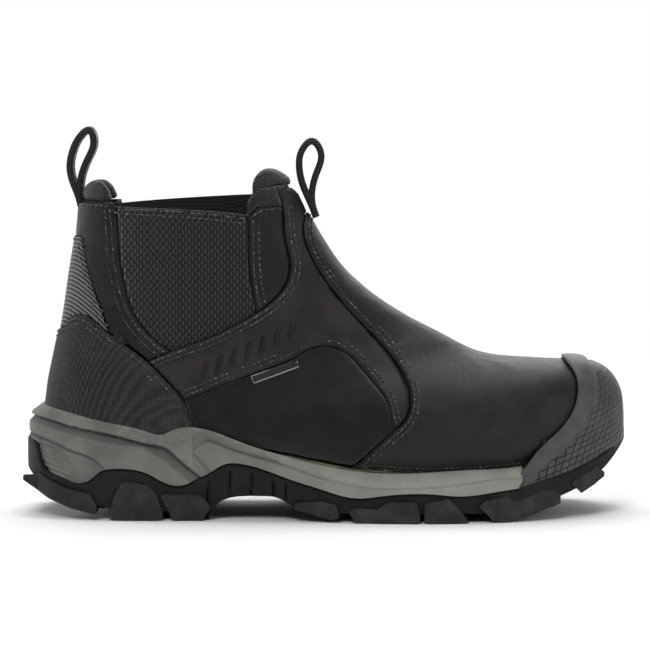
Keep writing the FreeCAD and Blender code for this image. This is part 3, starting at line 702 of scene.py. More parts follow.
def wall_relief(x, z):
    """How far the midsole wall stands out or in at each place of its side view."""
    zb, zl, zf, zj, zc = (level(line, x) for line in (BAND_LINE, BAND_LOW, FORE_LINE, JOINT, CREASE))
    heel = x < -60
    h = np.zeros_like(x)
    between = heel & (z < zb) & (z > zl)
    s = np.clip((zb - z) / np.maximum(zb - zl, 0.1), 0, 1)
    h = np.where(between, -2.2 + 2.9 * s ** 1.3, h)
    below = heel & (z <= zl)
    under = zl - z
    h = np.where(below, 1.5 - 0.05 * under - 0.7 * np.exp(-under / 0.7), h)
    crease = np.abs(z - zc)
    h = h - np.where(below & (x < -111), 1.1 * np.exp(-(crease / 0.6) ** 2), 0)
    ribs = 0.8 * (0.5 + 0.5 * np.sin((z + 0.27 * x) * 2 * np.pi / 2.5))
    ribbed = below & (x < -111) & (z < zc - 2.6)
    h = h - np.where(ribbed, ribs + 0.5, 0)
    h = h + np.where(heel & (z > zb), 0.5 * np.exp(-((z - zb) - 1.2) ** 2 / 1.4), 0)
    left_a = ((x + 67.5) * 4.6 - (z - 35.6) * 7.5) / 8.8
    left_b = ((x + 67.5) * 10.6 + (z - 35.6) * 9.0) / 13.9
    inside_front = np.minimum(np.where(x > -60, zf - z, left_a), left_b)
    front = smoothstep(inside_front, -0.1, 0.8)
    h = h + np.where(x > -68, 1.5 * front, 0)
    above = z - zf
    h = h - np.where((x > -60) & (above > 0), 0.7 * np.exp(-above / 1.3), 0)
    return h


def sole_wall(name, rows, wall_point, cap_top, cap_bottom, open_from=None):
    """A wall following the plan outline, with its top and bottom edges turned inwards."""
    n = len(PLAN)
    verts = []
    for k in range(n):
        for r in range(rows):
            verts.append(wall_point(k, r / (rows - 1.0)))
        verts.append(cap_top(k))
    verts = np.array(verts)
    bottom = np.array([cap_bottom(k) for k in range(n)])
    stride_v = rows + 1
    keep = [open_from is None or PLAN[k][0] < open_from for k in range(n)]
    faces = []
    for k in range(n):
        m = (k + 1) % n
        if not (keep[k] and keep[m]):
            continue
        for r in range(rows):
            faces.append((k * stride_v + r, m * stride_v + r, m * stride_v + r + 1, k * stride_v + r + 1))
    base = len(verts)
    verts = np.vstack([verts, bottom])
    for k in range(n):
        m = (k + 1) % n
        if keep[k] and keep[m]:
            faces.append((base + k, base + m, m * stride_v, k * stride_v))
    obj = mesh_object(name, verts, faces)
    return obj


near_rim = np.abs(FLAT_GRID[:, 2] - level(RIM_LINE, FLAT_GRID[:, 0])) < 1.3
RIM_RING = FLAT_GRID[near_rim][:, :2]
RIM_GAP = 1.0                  # the rim stands this far outside the upper
RIM_OFFSET = np.zeros(len(PLAN))
for k, (spot, outward) in enumerate(zip(PLAN, PLAN_OUT)):
    gap = RIM_RING - spot
    beside = np.abs(gap @ np.array([-outward[1], outward[0]])) < 1.6
    reach = (gap @ outward)[beside]
    reach = reach[reach > -22]
    RIM_OFFSET[k] = reach.max() + RIM_GAP if len(reach) else -6.0
for _ in range(6):
    RIM_OFFSET = 0.25 * np.roll(RIM_OFFSET, 1) + 0.5 * RIM_OFFSET + 0.25 * np.roll(RIM_OFFSET, -1)
FRONT_Z, FRONT_X = (6.0, 16.0, 27.0, 35.2, 42.0), (94.0, 96.5, 102.0, 108.0, 115.5)


def midsole_point(k, share):
    x, y = PLAN[k]
    zj, zr = level(JOINT, x), level(RIM_LINE, x)
    z = zj + (zr - zj) * share
    line = level(BAND_LINE, x) if x < -66 else level(FORE_LINE, x)
    lean = np.clip((z - line) / max(zr - line, 1.0), 0, 1)
    back = float(smoothstep(-x, 118.0, 140.0))
    tuck = float(smoothstep(x - np.interp(z, FRONT_Z, FRONT_X), 0.0, 1.4))
    offset = wall_relief(np.array([x]), np.array([z]))[0] - 1.9 - 2.6 * back
    offset += (RIM_OFFSET[k] - offset) * lean ** 1.1
    offset -= 5.0 * tuck + 0.8 * (max(share - 0.93, 0) / 0.07) ** 2
    return (*(PLAN[k] + offset * PLAN_OUT[k]), z)


def midsole_top(k):
    x, y, z = midsole_point(k, 1.0)
    return x - PLAN_OUT[k][0] * 5, y - PLAN_OUT[k][1] * 5, z - 1.2


def midsole_bottom(k):
    x, y, z = midsole_point(k, 0.0)
    return x - PLAN_OUT[k][0] * 6, y - PLAN_OUT[k][1] * 6, z


midsole = sole_wall("midsole_wall", 64, midsole_point, midsole_top, midsole_bottom,
                    open_from=112.0)
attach(midsole, "boot")


# ---- outsole: a rubber wall, a web plate and lugs ------------------------------------------------------
def outsole_top_level(x):
    return level(JOINT, x) if x < 95 else level(BUMPER_LOW, x)


ARCH_GROOVES = (-58.6, -47.9, -37.0, -26.0, -19.8)


def outsole_point(k, share):
    x, y = PLAN[k]
    top = float(outsole_top_level(x))
    web = float(level(TREAD, x)) + (3.6 if x > 108 or x < -118 else 4.6)
    if -60 < x < -16:
        web -= 4.2
    z = top - (top - web) * share
    inset = 2.6 + 1.0 * math.exp(-((top - z) / 0.7) ** 2)
    for g in ARCH_GROOVES:
        groove = 1.3 * math.exp(-((x - g - 0.06 * (z - 20)) / 0.55) ** 2)
        inset += groove * float(smoothstep(top - z, 2.0, 5.0))
    inset -= 2.0 * float(smoothstep(x, 80.0, 96.0)) + 0.3 * float(smoothstep(-x, 112.0, 126.0))
    return (*(PLAN[k] - inset * PLAN_OUT[k]), z)


def outsole_inner(k):
    x, y, z = outsole_point(k, 0.0)
    return x - PLAN_OUT[k][0] * 7, y - PLAN_OUT[k][1] * 7, z


def outsole_under(k):
    return outsole_point(k, 1.0)


def strip_plate(name, low_point):
    """Closes the underside: quads straight across the sole between matching edge points."""
    n = len(PLAN)
    xs = np.linspace(-152.5, 152.0, 170)
    lat = [k for k in range(n) if PLAN[k][1] < 0]
    med = [k for k in range(n) if PLAN[k][1] >= 0]

    def edge(keys, x):
        pts = np.array([low_point(k) for k in keys])
        order = np.argsort(pts[:, 0])
        return np.interp(x, pts[order, 0], pts[order, 1]), np.interp(x, pts[order, 0], pts[order, 2])
    ly, lz = edge(lat, xs)
    my, mz = edge(med, xs)
    verts, faces = [], []
    across = 8
    for i in range(len(xs)):
        for j in range(across + 1):
            s = j / across
            verts.append((xs[i], ly[i] + (my[i] - ly[i]) * s, lz[i] + (mz[i] - lz[i]) * s))
    for i in range(len(xs) - 1):
        for j in range(across):
            a = i * (across + 1) + j
            faces.append((a, a + 1, a + across + 2, a + across + 1))
    return mesh_object(name, verts, faces)


outsole_parts = [
    sole_wall("outsole_wall", 22, lambda k, s: outsole_point(k, 1.0 - s), outsole_inner,
              outsole_under),
    strip_plate("outsole_web", outsole_under),
]


def plan_edge(x, side):
    half = PLAN[PLAN[:, 1] * side > 0]
    order = np.argsort(half[:, 0])
    return np.interp(x, half[order, 0], half[order, 1])


def lug(top, bottom, inner, side, stand=0.3, bevel=1.3):
    """A tread lug: side-view top and bottom lines run in from the sole edge."""
    top, bottom = np.array(top, float), np.array(bottom, float)
    x0, x1 = top[0, 0], top[-1, 0]
    xs = np.unique(np.concatenate([np.linspace(x0, x1, max(int((x1 - x0) / 2.5), 3)), top[:, 0],
                                   bottom[(bottom[:, 0] > x0) & (bottom[:, 0] < x1), 0]]))
    verts, faces = [], []
    for x in xs:
        zt, zb = np.interp(x, top[:, 0], top[:, 1]), np.interp(x, bottom[:, 0], bottom[:, 1])
        outer = plan_edge(x, side) + side * stand
        shrink = side * 0.10 * (zt - zb)
        verts += [(x, outer - shrink, zt), (x, outer, zb), (x, inner * side, zb), (x, inner * side, zt + 1)]
    for i in range(len(xs) - 1):
        a = i * 4
        for m in range(4):
            b = (m + 1) % 4
            faces.append((a + m, a + 4 + m, a + 4 + b, a + b))
    faces.append((0, 1, 2, 3))
    faces.append(tuple(len(verts) - 4 + m for m in (3, 2, 1, 0)))
    obj = mesh_object("lug", verts, faces, False)
    fix_normals(obj)
    modify(obj, "BEVEL", width=bevel * MM, segments=1, limit_method="ANGLE", angle_limit=math.radians(32))
    return obj


EDGE_LUGS = [
    ([(-153, 20), (-144, 21), (-130, 15.5), (-118, 13), (-114.6, 7)],
     [(-153, 18.5), (-149, 15.6), (-140, 10.3), (-128, 5.9), (-115.5, 3.0), (-114.6, 3.4)]),
    ([(-108.5, 3.2), (-106.3, 11), (-102.4, 18.6), (-99.6, 19.6), (-88.4, 17.6), (-84.4, 13), (-81.4, 3)],
     [(-108.5, 2.0), (-104, 0.4), (-84, 0.0), (-81.4, 1.2)]),
    ([(-82.4, 13.2), (-62.4, 13.1), (-57.6, 7.4)],
     [(-82.4, 12.4), (-76.6, 0.8), (-75.0, 0.0), (-61.6, 0.0), (-57.6, 6.0)]),
    ([(-15.2, 9.5), (-2, 10.6), (5.4, 9.0), (7.0, 4.5)], [(-15.2, 6.4), (-8, 4.2), (3.4, 1.1), (7.0, 2.4)]),
    ([(12.4, 6.0), (14.4, 7.4), (26, 7.2), (31.6, 10.8), (45.6, 10.8), (47.4, 4)],
     [(12.4, 4.5), (15.2, 0.2), (17.0, 0.0), (45.4, 0.0), (47.4, 1.6)]),
    ([(49.4, 10.2), (61.6, 12.4), (65.4, 9.0), (71.4, 1.2)],
     [(49.4, 0.4), (52, 0.0), (70, 0.0), (71.4, 0.4)]),
    ([(77.4, 8.6), (80, 11.4), (98, 13.6), (115.4, 15.4), (118.4, 12)],
     [(77.4, 8.0), (84.6, 0.2), (92, 0.0), (103, 3.2), (117, 7.8), (118.4, 8.6)]),
    ([(124.4, 18.6), (137.6, 24.4), (141.6, 21.6)],
     [(124.4, 17.4), (129.4, 12.6), (137, 16.6), (141.6, 20.4)]),
]
lug_parts = []
for side in (-1, 1):
    for top, bottom in EDGE_LUGS:
        lug_parts.append(lug(top, bottom, 25.0, side))
MIDDLE_LUGS = [(-128, -112), (-104, -86), (-80, -64), (-8, 8), (16, 34), (42, 60), (68, 86), (94, 112)]
for x0, x1 in MIDDLE_LUGS:
    z0, z1 = (float(level(TREAD, x)) for x in (x0, x1))
    for side in (-1, 1):
        wide = side * 17
        top = [(x0 + 5, 0.0, z0 + 5.6), (x1 + 5, 0.0, z1 + 5.6), (x1, wide, z1 + 5.6), (x0, wide, z0 + 5.6)]
        foot = [(x0 + 6, 0.0, z0 + 0.1), (x1 + 4, 0.0, z1 + 0.1),
                (x1 - 1, wide - side, z1 + 0.1), (x0 + 1, wide - side, z0 + 0.1)]
        block = mesh_object("middle", top + foot, [(0, 1, 2, 3), (4, 7, 6, 5), (0, 4, 5, 1), (1, 5, 6, 2),
                                                   (2, 6, 7, 3), (3, 7, 4, 0)], False)
        fix_normals(block)
        modify(block, "BEVEL", width=0.8 * MM, segments=2)
        lug_parts.append(block)
outsole = join(outsole_parts, "outsole_wall_and_web")
lugs = join(lug_parts, "outsole_lugs")
for obj in (outsole, lugs):
    only(obj)
    bpy.ops.object.shade_smooth_by_angle(angle=math.radians(24))
    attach(obj, "boot")
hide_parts("outsole")


# ---- toe bumper ------------------------------------------------------------------------------------
BUMPER_CUT = 5.0               # the sheet is cut where the last is still steep, then drawn down
BUMPER_TUCK = 3.5              # its foot ends this far below the outsole's upper edge


def bumper_class(uv):
    p = at(uv, -2.0)
    xz = p[:, [0, 2]]
    edge_poly = poly(BUMPER_EDGE, [(93, LOW), (RIGHT, LOW), (RIGHT, 90)])
    tag = np.where(inside(xz, edge_poly), 0, -1)
    low = xz[:, 1] < level(BUMPER_LOW, xz[:, 0]) + BUMPER_CUT
    return np.where(low, -1, tag)


B_PLACE, B_FACES = snapped_faces(bumper_class, rows=(int(ROWS * 0.60), ROWS), stride=1)
bumper_faces = [list(f) for f, t in B_FACES if t == 0]


def line_gap(points, line):
    """Distance in the side view from each point to a line."""
    tree = KDTree(len(line))
    for k, p in enumerate(line):
        tree.insert((p[0], 0, p[1]), k)
    tree.balance()
    return np.array([tree.find((p[0], 0, p[2]))[2] for p in points])


def bumper_relief(points, edge):
    bead_in = inside(points[:, [0, 2]], poly(BEAD_EDGE, [(100, LOW), (RIGHT, LOW), (RIGHT, 90)]))
    to_bead = line_gap(points, BEAD_EDGE)
    to_edge = line_gap(points, BUMPER_EDGE)
    width = to_bead + to_edge
    crown = np.sqrt(np.clip(1 - (2 * to_edge / np.maximum(width, 0.1) - 1) ** 2, 0, 1))
    h = np.where(bead_in, 0.0, 1.3 * crown)
    h = h - 0.9 * np.exp(-(to_bead / 1.0) ** 2)
    return h


PLAN_TREE = KDTree(len(PLAN))
for k, (x, y) in enumerate(PLAN):
    PLAN_TREE.insert((x, y, 0), k)
PLAN_TREE.balance()


def flush_with_sole(points):
    """Draws the foot of the bumper down and out to the outsole's edge instead of turning under."""
    out = points.copy()
    share = smoothstep(level(BUMPER_LOW, points[:, 0]) + 18.0 - points[:, 2], 0.0, 18.0 - BUMPER_CUT)
    drawn = (BUMPER_CUT + BUMPER_TUCK) * share
    out[:, 2] -= drawn
    out[:, 0] -= 0.75 * drawn * (1 - smoothstep(points[:, 0], 108.0, 130.0))
    for i, (p, t) in enumerate(zip(out.copy(), share)):
        if t > 0:
            k = PLAN_TREE.find((p[0], p[1], 0))[1]
            goal = PLAN[k] - 1.6 * PLAN_OUT[k]
            gain = np.dot(goal - p[:2], PLAN_OUT[k])
            push = PLAN_OUT[k] * (float(smoothstep(p[0], 112.0, 138.0)), 1.0)
            if gain > 0:
                out[i, :2] += push / max(np.dot(push, PLAN_OUT[k]), 0.3) * gain * t
    return out


bumper = shell("bumper_piece", bumper_faces, B_PLACE, -2.0, 2.0, roll=0.6, relief=bumper_relief,
               reshape=flush_with_sole)
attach(bumper, "boot")
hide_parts("toe_bumper")
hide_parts("midsole")


# ---- small raised shapes lying on the outer side ------------------------------------------------------
def on_side(x, z, sign, depth):
    """The place on the upper seen at x, z from one side, at a depth, and its outward normal."""
    start = np.array([[x, sign * upper_reach(x, z, sign), z]])
    spot, normal = settle(start, depth)
    return spot[0], normal[0]


def pillow(name, corners, depth, height, cells=(14, 7), edge=0.16):
    """A small four-cornered raised shape with rounded shoulders, following the surface."""
    corners = np.array(corners, float)
    nu, nv = cells
    verts, faces = [], []
    for i in range(nu + 1):
        for j in range(nv + 1):
            u, v = i / nu, j / nv
            p = ((1 - u) * (1 - v) * corners[0] + u * (1 - v) * corners[1]
                 + u * v * corners[2] + (1 - u) * v * corners[3])
            rise = min(min(u, 1 - u) * nu, min(v, 1 - v) * nv, 1 / edge) * edge
            lift = height * math.sqrt(max(1 - (1 - min(rise * 3, 1)) ** 2, 0)) - 0.35 * (rise == 0)
            verts.append(on_side(p[0], p[1], -1, depth - lift)[0])
    for i in range(nu):
        for j in range(nv):
            a = i * (nv + 1) + j
            faces.append((a, a + nv + 1, a + nv + 2, a + 1))
    return mesh_object(name, verts, faces)


# Plain slanted bars stand in for the raised lettering of the side strap.
BAR_COUNT = 7
BAR_FROM, BAR_TO = (-64.0, 74.0), (-13.0, 96.5)
bars = []
for k in range(BAR_COUNT):
    share = (k + 0.5) / BAR_COUNT
    cx = BAR_FROM[0] + (BAR_TO[0] - BAR_FROM[0]) * share
    cz = BAR_FROM[1] + (BAR_TO[1] - BAR_FROM[1]) * share
    along = np.array([0.915, 0.403])
    up = np.array([0.20, 0.980])
    mid = np.array([cx, cz])
    half_l, half_h = 1.7, 5.0
    bars.append(pillow(f"bar_{k}", [mid - along * half_l - up * half_h, mid + along * half_l - up * half_h,
                                    mid + along * half_l + up * half_h, mid - along * half_l + up * half_h],
                       DROP["quarter"] - 0.35, 0.6, cells=(6, 14)))
strap_bars = join(bars, "strap_bars")
modify(strap_bars, "SMOOTH", factor=0.5, iterations=3)
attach(strap_bars, "boot")

TAG_CORNERS = [(-36.0, 68.3), (-12.2, 76.8), (-13.5, 81.3), (-37.9, 73.3)]
TAG_TILT = math.atan2(8.5, 23.8)                     # slope of the tag's long side
TAG_SPOT = np.mean(TAG_CORNERS, axis=0)
TAG_MIDDLE = (TAG_SPOT[0] * math.cos(TAG_TILT) + TAG_SPOT[1] * math.sin(TAG_TILT),
              TAG_SPOT[1] * math.cos(TAG_TILT) - TAG_SPOT[0] * math.sin(TAG_TILT))
tag = pillow("tag_piece", TAG_CORNERS, 1.5, 0.9,
             cells=(20, 6), edge=0.5)
modify(tag, "SOLIDIFY", thickness=0.5 * MM, offset=-1.0)
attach(tag, "boot")
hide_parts("side_tag")


# ---- pull loops: flat webbing bent into a loop ----------------------------------------------------------
REAR_LOOP = [(-124.4, 156.4), (-125.6, 161.2), (-128.2, 168), (-129.9, 176), (-127.9, 186), (-123.8, 192.8),
             (-120.2, 195.2), (-117.8, 190.5), (-120.2, 181.5), (-123.4, 174), (-124.9, 161.2),
             (-124.2, 156.4)]
FRONT_LOOP = [(-4.6, 150.8), (-6.6, 156.2), (-11.6, 168), (-13.2, 177), (-11.6, 185), (-6.6, 189.4),
              (-2.2, 184),
              (-4.2, 173.5), (-6.2, 156.2), (-4.4, 150.8)]
WEB_HALF, WEB_THICK = 7.4, 3.4


def webbing(name, path, red_to, red_from):
    """A strap swept along the path; the faces towards the gap are red between two shares of the path."""
    line = smooth(path, 0.7)
    t = np.gradient(line, axis=0)
    t /= np.hypot(*t.T)[:, None]
    n = np.stack([-t[:, 1], t[:, 0]], 1)
    ring = [(s * (WEB_HALF - c * 0.5), d) for s, c, d in
            ((-1, 2, 0.5), (-1, 0.6, 0.42), (-1, 0, 0.0), (-1, 0.6, -0.42), (-1, 2, -0.5),
             (1, 2, -0.5), (1, 0.6, -0.42), (1, 0, 0.0), (1, 0.6, 0.42), (1, 2, 0.5))]
    fill = 12
    ring = (ring[:5] + [(-WEB_HALF + 1 + (2 * WEB_HALF - 2) * k / fill, -0.5) for k in range(1, fill)]
            + ring[5:] + [(WEB_HALF - 1 - (2 * WEB_HALF - 2) * k / fill, 0.5) for k in range(1, fill)])
    m = len(ring)
    verts, faces, slots = [], [], []
    for p, d in zip(line, n):
        for y, lift in ring:
            q = p + d * lift * WEB_THICK
            verts.append((q[0], y, q[1]))
    for i in range(len(line) - 1):
        share = i / len(line)
        for k in range(m):
            b = (k + 1) % m
            faces.append((i * m + k, (i + 1) * m + k, (i + 1) * m + b, i * m + b))
            inner = ring[k][1] <= -0.49 and ring[b][1] <= -0.49
            slots.append(1 if inner and red_to < share < red_from else 0)
    faces.append(tuple(range(m)))
    faces.append(tuple(range((len(line) - 1) * m, len(line) * m))[::-1])
    slots += [0, 0]
    obj = mesh_object(name, verts, faces)
    fix_normals(obj)
    return obj, slots


rear_web, rear_slots = webbing("rear_webbing", REAR_LOOP, 0.05, 0.48)
front_web, front_slots = webbing("front_webbing", FRONT_LOOP, 0.5, 0.95)
for obj, body, node_name in ((rear_web, "rear_loop", "rear_pull_loop"),
                             (front_web, "front_loop", "front_pull_loop")):
    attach(obj, body)
    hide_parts(node_name)


# ---- collar pads: knitted cover over foam, puffed by cloth simulation -------------------------------------
PAD_SHRINK = 0.985             # the pads start a little small and are inflated


def puffed(source, name, voxel, pressure, cap):
    """A soft copy of a solid pad, remeshed and inflated; no point moves further than the cap."""
    obj = source.copy()
    obj.data = source.data.copy()
    obj.name = name
    obj.parent = None
    obj.matrix_world = Matrix.Identity(4)
    bpy.context.scene.collection.objects.link(obj)
    world = np.array([source.matrix_world @ v.co for v in source.data.vertices])
    middle = world.mean(0)
    for v, w in zip(obj.data.vertices, world):
        v.co = Vector(middle + (w - middle) * PAD_SHRINK)
    only(obj)
    bpy.ops.object.mode_set(mode="EDIT")
    bpy.ops.mesh.select_all(action="SELECT")
    bpy.ops.mesh.remove_doubles(threshold=0.00005)
    bpy.ops.object.mode_set(mode="OBJECT")
    modify(obj, "REMESH", mode="VOXEL", voxel_size=voxel * MM, use_smooth_shade=True)
    start = np.array([v.co for v in obj.data.vertices])
    cloth = obj.modifiers.new("cloth", "CLOTH")
    cloth.settings.use_pressure = True
    cloth.settings.uniform_pressure_force = pressure
    cloth.settings.effector_weights.gravity = 0
    cloth.settings.mass = 0.3
    scene = bpy.context.scene
    for f in range(1, 21):
        scene.frame_set(f)
    only(obj)
    bpy.ops.object.modifier_apply(modifier="cloth")
    scene.frame_set(1)
    end = np.array([v.co for v in obj.data.vertices])
    move = end - start
    size = np.linalg.norm(move, axis=1)[:, None]
    move = move * np.minimum(1.0, cap * MM / np.maximum(size, 1e-9))
    for v, p in zip(obj.data.vertices, start + move):
        v.co = Vector(p)
    modify(obj, "SMOOTH", factor=0.5, iterations=2)
    modify(obj, "SUBSURF", levels=1, render_levels=1)
    obj.data.polygons.foreach_set("use_smooth", [True] * len(obj.data.polygons))
    return obj


rear_pad = puffed(nodes["rear_collar_pad"], "rear_pad_cover", 1.8, 4.0, 1.0)
front_pad = puffed(nodes["front_collar_pad"], "front_pad_cover", 1.8, 4.0, 1.0)
for obj, node_name in ((rear_pad, "rear_collar_pad"), (front_pad, "front_collar_pad")):
    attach(obj, "boot")
    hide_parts(node_name)


# ---- materials ---------------------------------------------------------------------------------------
def linear(hex_text):
    """sRGB hex to the linear colour that shaders use."""
    parts = [int(hex_text[k:k + 2], 16) / 255 for k in (1, 3, 5)]
    return [c / 12.92 if c <= 0.04045 else ((c + 0.055) / 1.055) ** 2.4 for c in parts] + [1.0]


def add(tree, kind, inputs=None, **props):
    """A shader node with its settings; an input is a value or another node's output."""
    n = tree.nodes.new(kind)
    for key, value in props.items():
        setattr(n, key, value)
    for key, value in (inputs or {}).items():
        if isinstance(value, bpy.types.NodeSocket):
            tree.links.new(value, n.inputs[key])
        else:
            n.inputs[key].default_value = value
    return n


def math_node(tree, operation, a, b=0.0):
    return add(tree, "ShaderNodeMath", {0: a, 1: b}, operation=operation).outputs[0]


def times(tree, a, b):
    return math_node(tree, "MULTIPLY", a, b)


def plus(tree, a, b):
    return math_node(tree, "ADD", a, b)


def minus(tree, a, b):
    return math_node(tree, "SUBTRACT", a, b)


def sine(tree, a):
    return math_node(tree, "SINE", a)


def mixed(tree, fac, a, b):
    n = add(tree, "ShaderNodeMix", data_type="RGBA")
    for key, value in ((0, fac), (6, a), (7, b)):
        if isinstance(value, bpy.types.NodeSocket):
            tree.links.new(value, n.inputs[key])
        else:
            n.inputs[key].default_value = value
    return n.outputs[2]


def start_material(name):
    mat = bpy.data.materials.new(name)
    mat.use_nodes = True
    tree = mat.node_tree
    tree.nodes.clear()
    where = add(tree, "ShaderNodeTexCoord").outputs["Object"]
    return mat, tree, where


def noise_of(tree, where, size_mm, detail=4.0, rough=0.55, stretch=None):
    """Noise whose blotches are about size_mm across."""
    if stretch:
        where = add(tree, "ShaderNodeMapping", {"Vector": where, "Scale": stretch}).outputs[0]
    return add(tree, "ShaderNodeTexNoise", {"Vector": where, "Scale": 1.0 / (size_mm * MM), "Detail": detail,
                                            "Roughness": rough}).outputs["Fac"]


def cells_of(tree, where, size_mm, feature="F1", spread=1.0):
    return add(tree, "ShaderNodeTexVoronoi", {"Vector": where, "Scale": 1.0 / (size_mm * MM),
                                              "Randomness": spread}, feature=feature).outputs["Distance"]


def ramp(tree, value, low, high, to_low=0.0, to_high=1.0):
    limits = {"Value": value, "From Min": low, "From Max": high, "To Min": to_low, "To Max": to_high}
    return add(tree, "ShaderNodeMapRange", limits, interpolation_type="SMOOTHSTEP").outputs[0]


def bumped(tree, *heights):
    """Bump nodes in a chain: (height socket, depth in millimetres)."""
    normal = None
    for height, depth in heights:
        inputs = {"Height": height, "Distance": depth * MM, "Strength": 1.0}
        if normal is not None:
            inputs["Normal"] = normal
        normal = add(tree, "ShaderNodeBump", inputs).outputs[0]
    return normal


def finish_material(tree, colour, rough, normal=None, **shader):
    inputs = {"Base Color": colour, "Roughness": rough}
    if normal is not None:
        inputs["Normal"] = normal
    if "Metallic" not in shader:
        inputs["Specular IOR Level"] = 0.27
    inputs.update({key.replace("_", " "): value for key, value in shader.items()})
    bsdf = add(tree, "ShaderNodeBsdfPrincipled", inputs)
    add(tree, "ShaderNodeOutputMaterial", {"Surface": bsdf.outputs[0]})


def leather(name, dark, light, patch_mm, rough_low, rough_high, grain_mm=0.9, grain_depth=0.10,
            crease_depth=0.25, coat=0.0):
    """Drum-dyed leather: a fine pebble grain, broader pull-up patches and soft creases."""
    mat, tree, where = start_material(name)
    patches = ramp(tree, noise_of(tree, where, patch_mm, 3.0), 0.38, 0.68)
    grain = cells_of(tree, where, grain_mm, "DISTANCE_TO_EDGE")
    creases = noise_of(tree, where, 7.0, 6.0, 0.62)
    rim = add(tree, "ShaderNodeAttribute", attribute_name="rim").outputs["Fac"]
    # Painted shade: the colour darkens towards near black within 1.2 mm of a panel's border, where the rolled
    # edge meets the next panel.
    edge_shade = ramp(tree, rim, 0.0, 1.2, 0.35, 0.0)
    colour = mixed(tree, patches, linear(dark), linear(light))
    colour = mixed(tree, edge_shade, colour, linear("#060606"))
    rough = ramp(tree, noise_of(tree, where, patch_mm * 0.5, 5.0), 0.3, 0.7, rough_low, rough_high)
    normal = bumped(tree, (ramp(tree, grain, 0.0, 0.35), grain_depth), (creases, crease_depth))
    finish_material(tree, colour, rough, normal, Coat_Weight=coat, Coat_Roughness=0.3)
    return mat


def creased_vamp():
    """Oiled black vamp leather: dark grain, with a warm brown patch over the forefoot that is a painted
    highlight.
    """
    mat, tree, where = start_material("vamp_leather")
    xyz = add(tree, "ShaderNodeSeparateXYZ", {"Vector": where}).outputs
    # Painted highlight: a warm brown patch on the forefoot, broken up by noise.
    near = times(tree, ramp(tree, xyz["X"], 0.035, 0.065), ramp(tree, xyz["X"], 0.135, 0.112))
    level_up = times(tree, ramp(tree, xyz["Z"], 0.034, 0.055), ramp(tree, xyz["Z"], 0.082, 0.062))
    painted_highlight = times(tree, times(tree, near, level_up),
                     ramp(tree, noise_of(tree, where, 9.0, 5.0), 0.30, 0.62))
    colour = mixed(tree, ramp(tree, noise_of(tree, where, 14.0, 5.0), 0.35, 0.7), linear("#0f0e0e"),
                   linear("#151413"))
    colour = mixed(tree, times(tree, painted_highlight, 0.16), colour, linear("#4a3f38"))
    fine = cells_of(tree, where, 0.9, "DISTANCE_TO_EDGE")
    lines = noise_of(tree, where, 5.0, 7.0, 0.7, (1.0, 1.0, 0.45))
    swell = noise_of(tree, where, 16.0, 3.0)
    rough = ramp(tree, noise_of(tree, where, 6.0, 5.0), 0.3, 0.7, 0.40, 0.48)
    normal = bumped(tree, (ramp(tree, fine, 0.0, 0.35), 0.09), (lines, 0.40), (swell, 0.4))
    finish_material(tree, colour, rough, normal, Specular_IOR_Level=0.30, Coat_Weight=0.04, Coat_Roughness=0.3)
    return mat


def nubuck():
    """Brushed nubuck side panel: a matte near-black nap with faint cloudy brush marks."""
    mat, tree, where = start_material("side_nubuck")
    cloud = ramp(tree, noise_of(tree, where, 12.0, 5.0), 0.3, 0.7)
    nap = noise_of(tree, where, 0.35, 3.0, 0.7)
    colour = mixed(tree, cloud, linear("#0e0e0e"), linear("#171718"))
    normal = bumped(tree, (nap, 0.12))
    finish_material(tree, colour, 0.92, normal, Sheen_Weight=0.25, Sheen_Roughness=0.5)
    return mat


def dotted_cover():
    """Heel cover: bluish-grey coated leather with rows of tiny raised dots."""
    mat, tree, where = start_material("heel_cover_leather")
    dots = cells_of(tree, where, 1.15, "F1", 0.12)
    bead = ramp(tree, dots, 0.20, 0.46, 1.0, 0.0)
    cloud = ramp(tree, noise_of(tree, where, 10.0, 4.0), 0.3, 0.7)
    colour = mixed(tree, cloud, linear("#171718"), linear("#212123"))
    colour = mixed(tree, times(tree, bead, 0.7), colour, linear("#4a4c50"))
    normal = bumped(tree, (bead, 0.14), (noise_of(tree, where, 14.0), 0.3))
    finish_material(tree, colour, 0.56, normal)
    return mat


def honeycomb_gore():
    """Elastic gore: staggered upright knit cells that read as a dark ribbed stretch cloth."""
    mat, tree, where = start_material("gore_elastic")
    xyz = add(tree, "ShaderNodeSeparateXYZ", {"Vector": where}).outputs
    column = times(tree, xyz["X"], 1 / (1.6 * MM))
    odd = times(tree, math_node(tree, "PINGPONG", math_node(tree, "FLOOR", column), 1.0), 0.5)
    height = plus(tree, times(tree, xyz["Z"], 1 / (3.8 * MM)), odd)
    round_x = sine(tree, times(tree, math_node(tree, "FRACT", column), math.pi))
    round_z = sine(tree, times(tree, math_node(tree, "FRACT", height), math.pi))
    cell = times(tree, round_x, math_node(tree, "POWER", round_z, 0.55))
    # Painted shade: the colour runs from near black in the hollows between the knit cells to grey on their tops.
    colour = mixed(tree, ramp(tree, cell, 0.25, 0.85), linear("#020203"), linear("#38383a"))
    normal = bumped(tree, (cell, 0.9), (noise_of(tree, where, 0.5, 3.0), 0.08))
    finish_material(tree, colour, 0.78, normal, Sheen_Weight=0.3, Sheen_Roughness=0.4)
    return mat


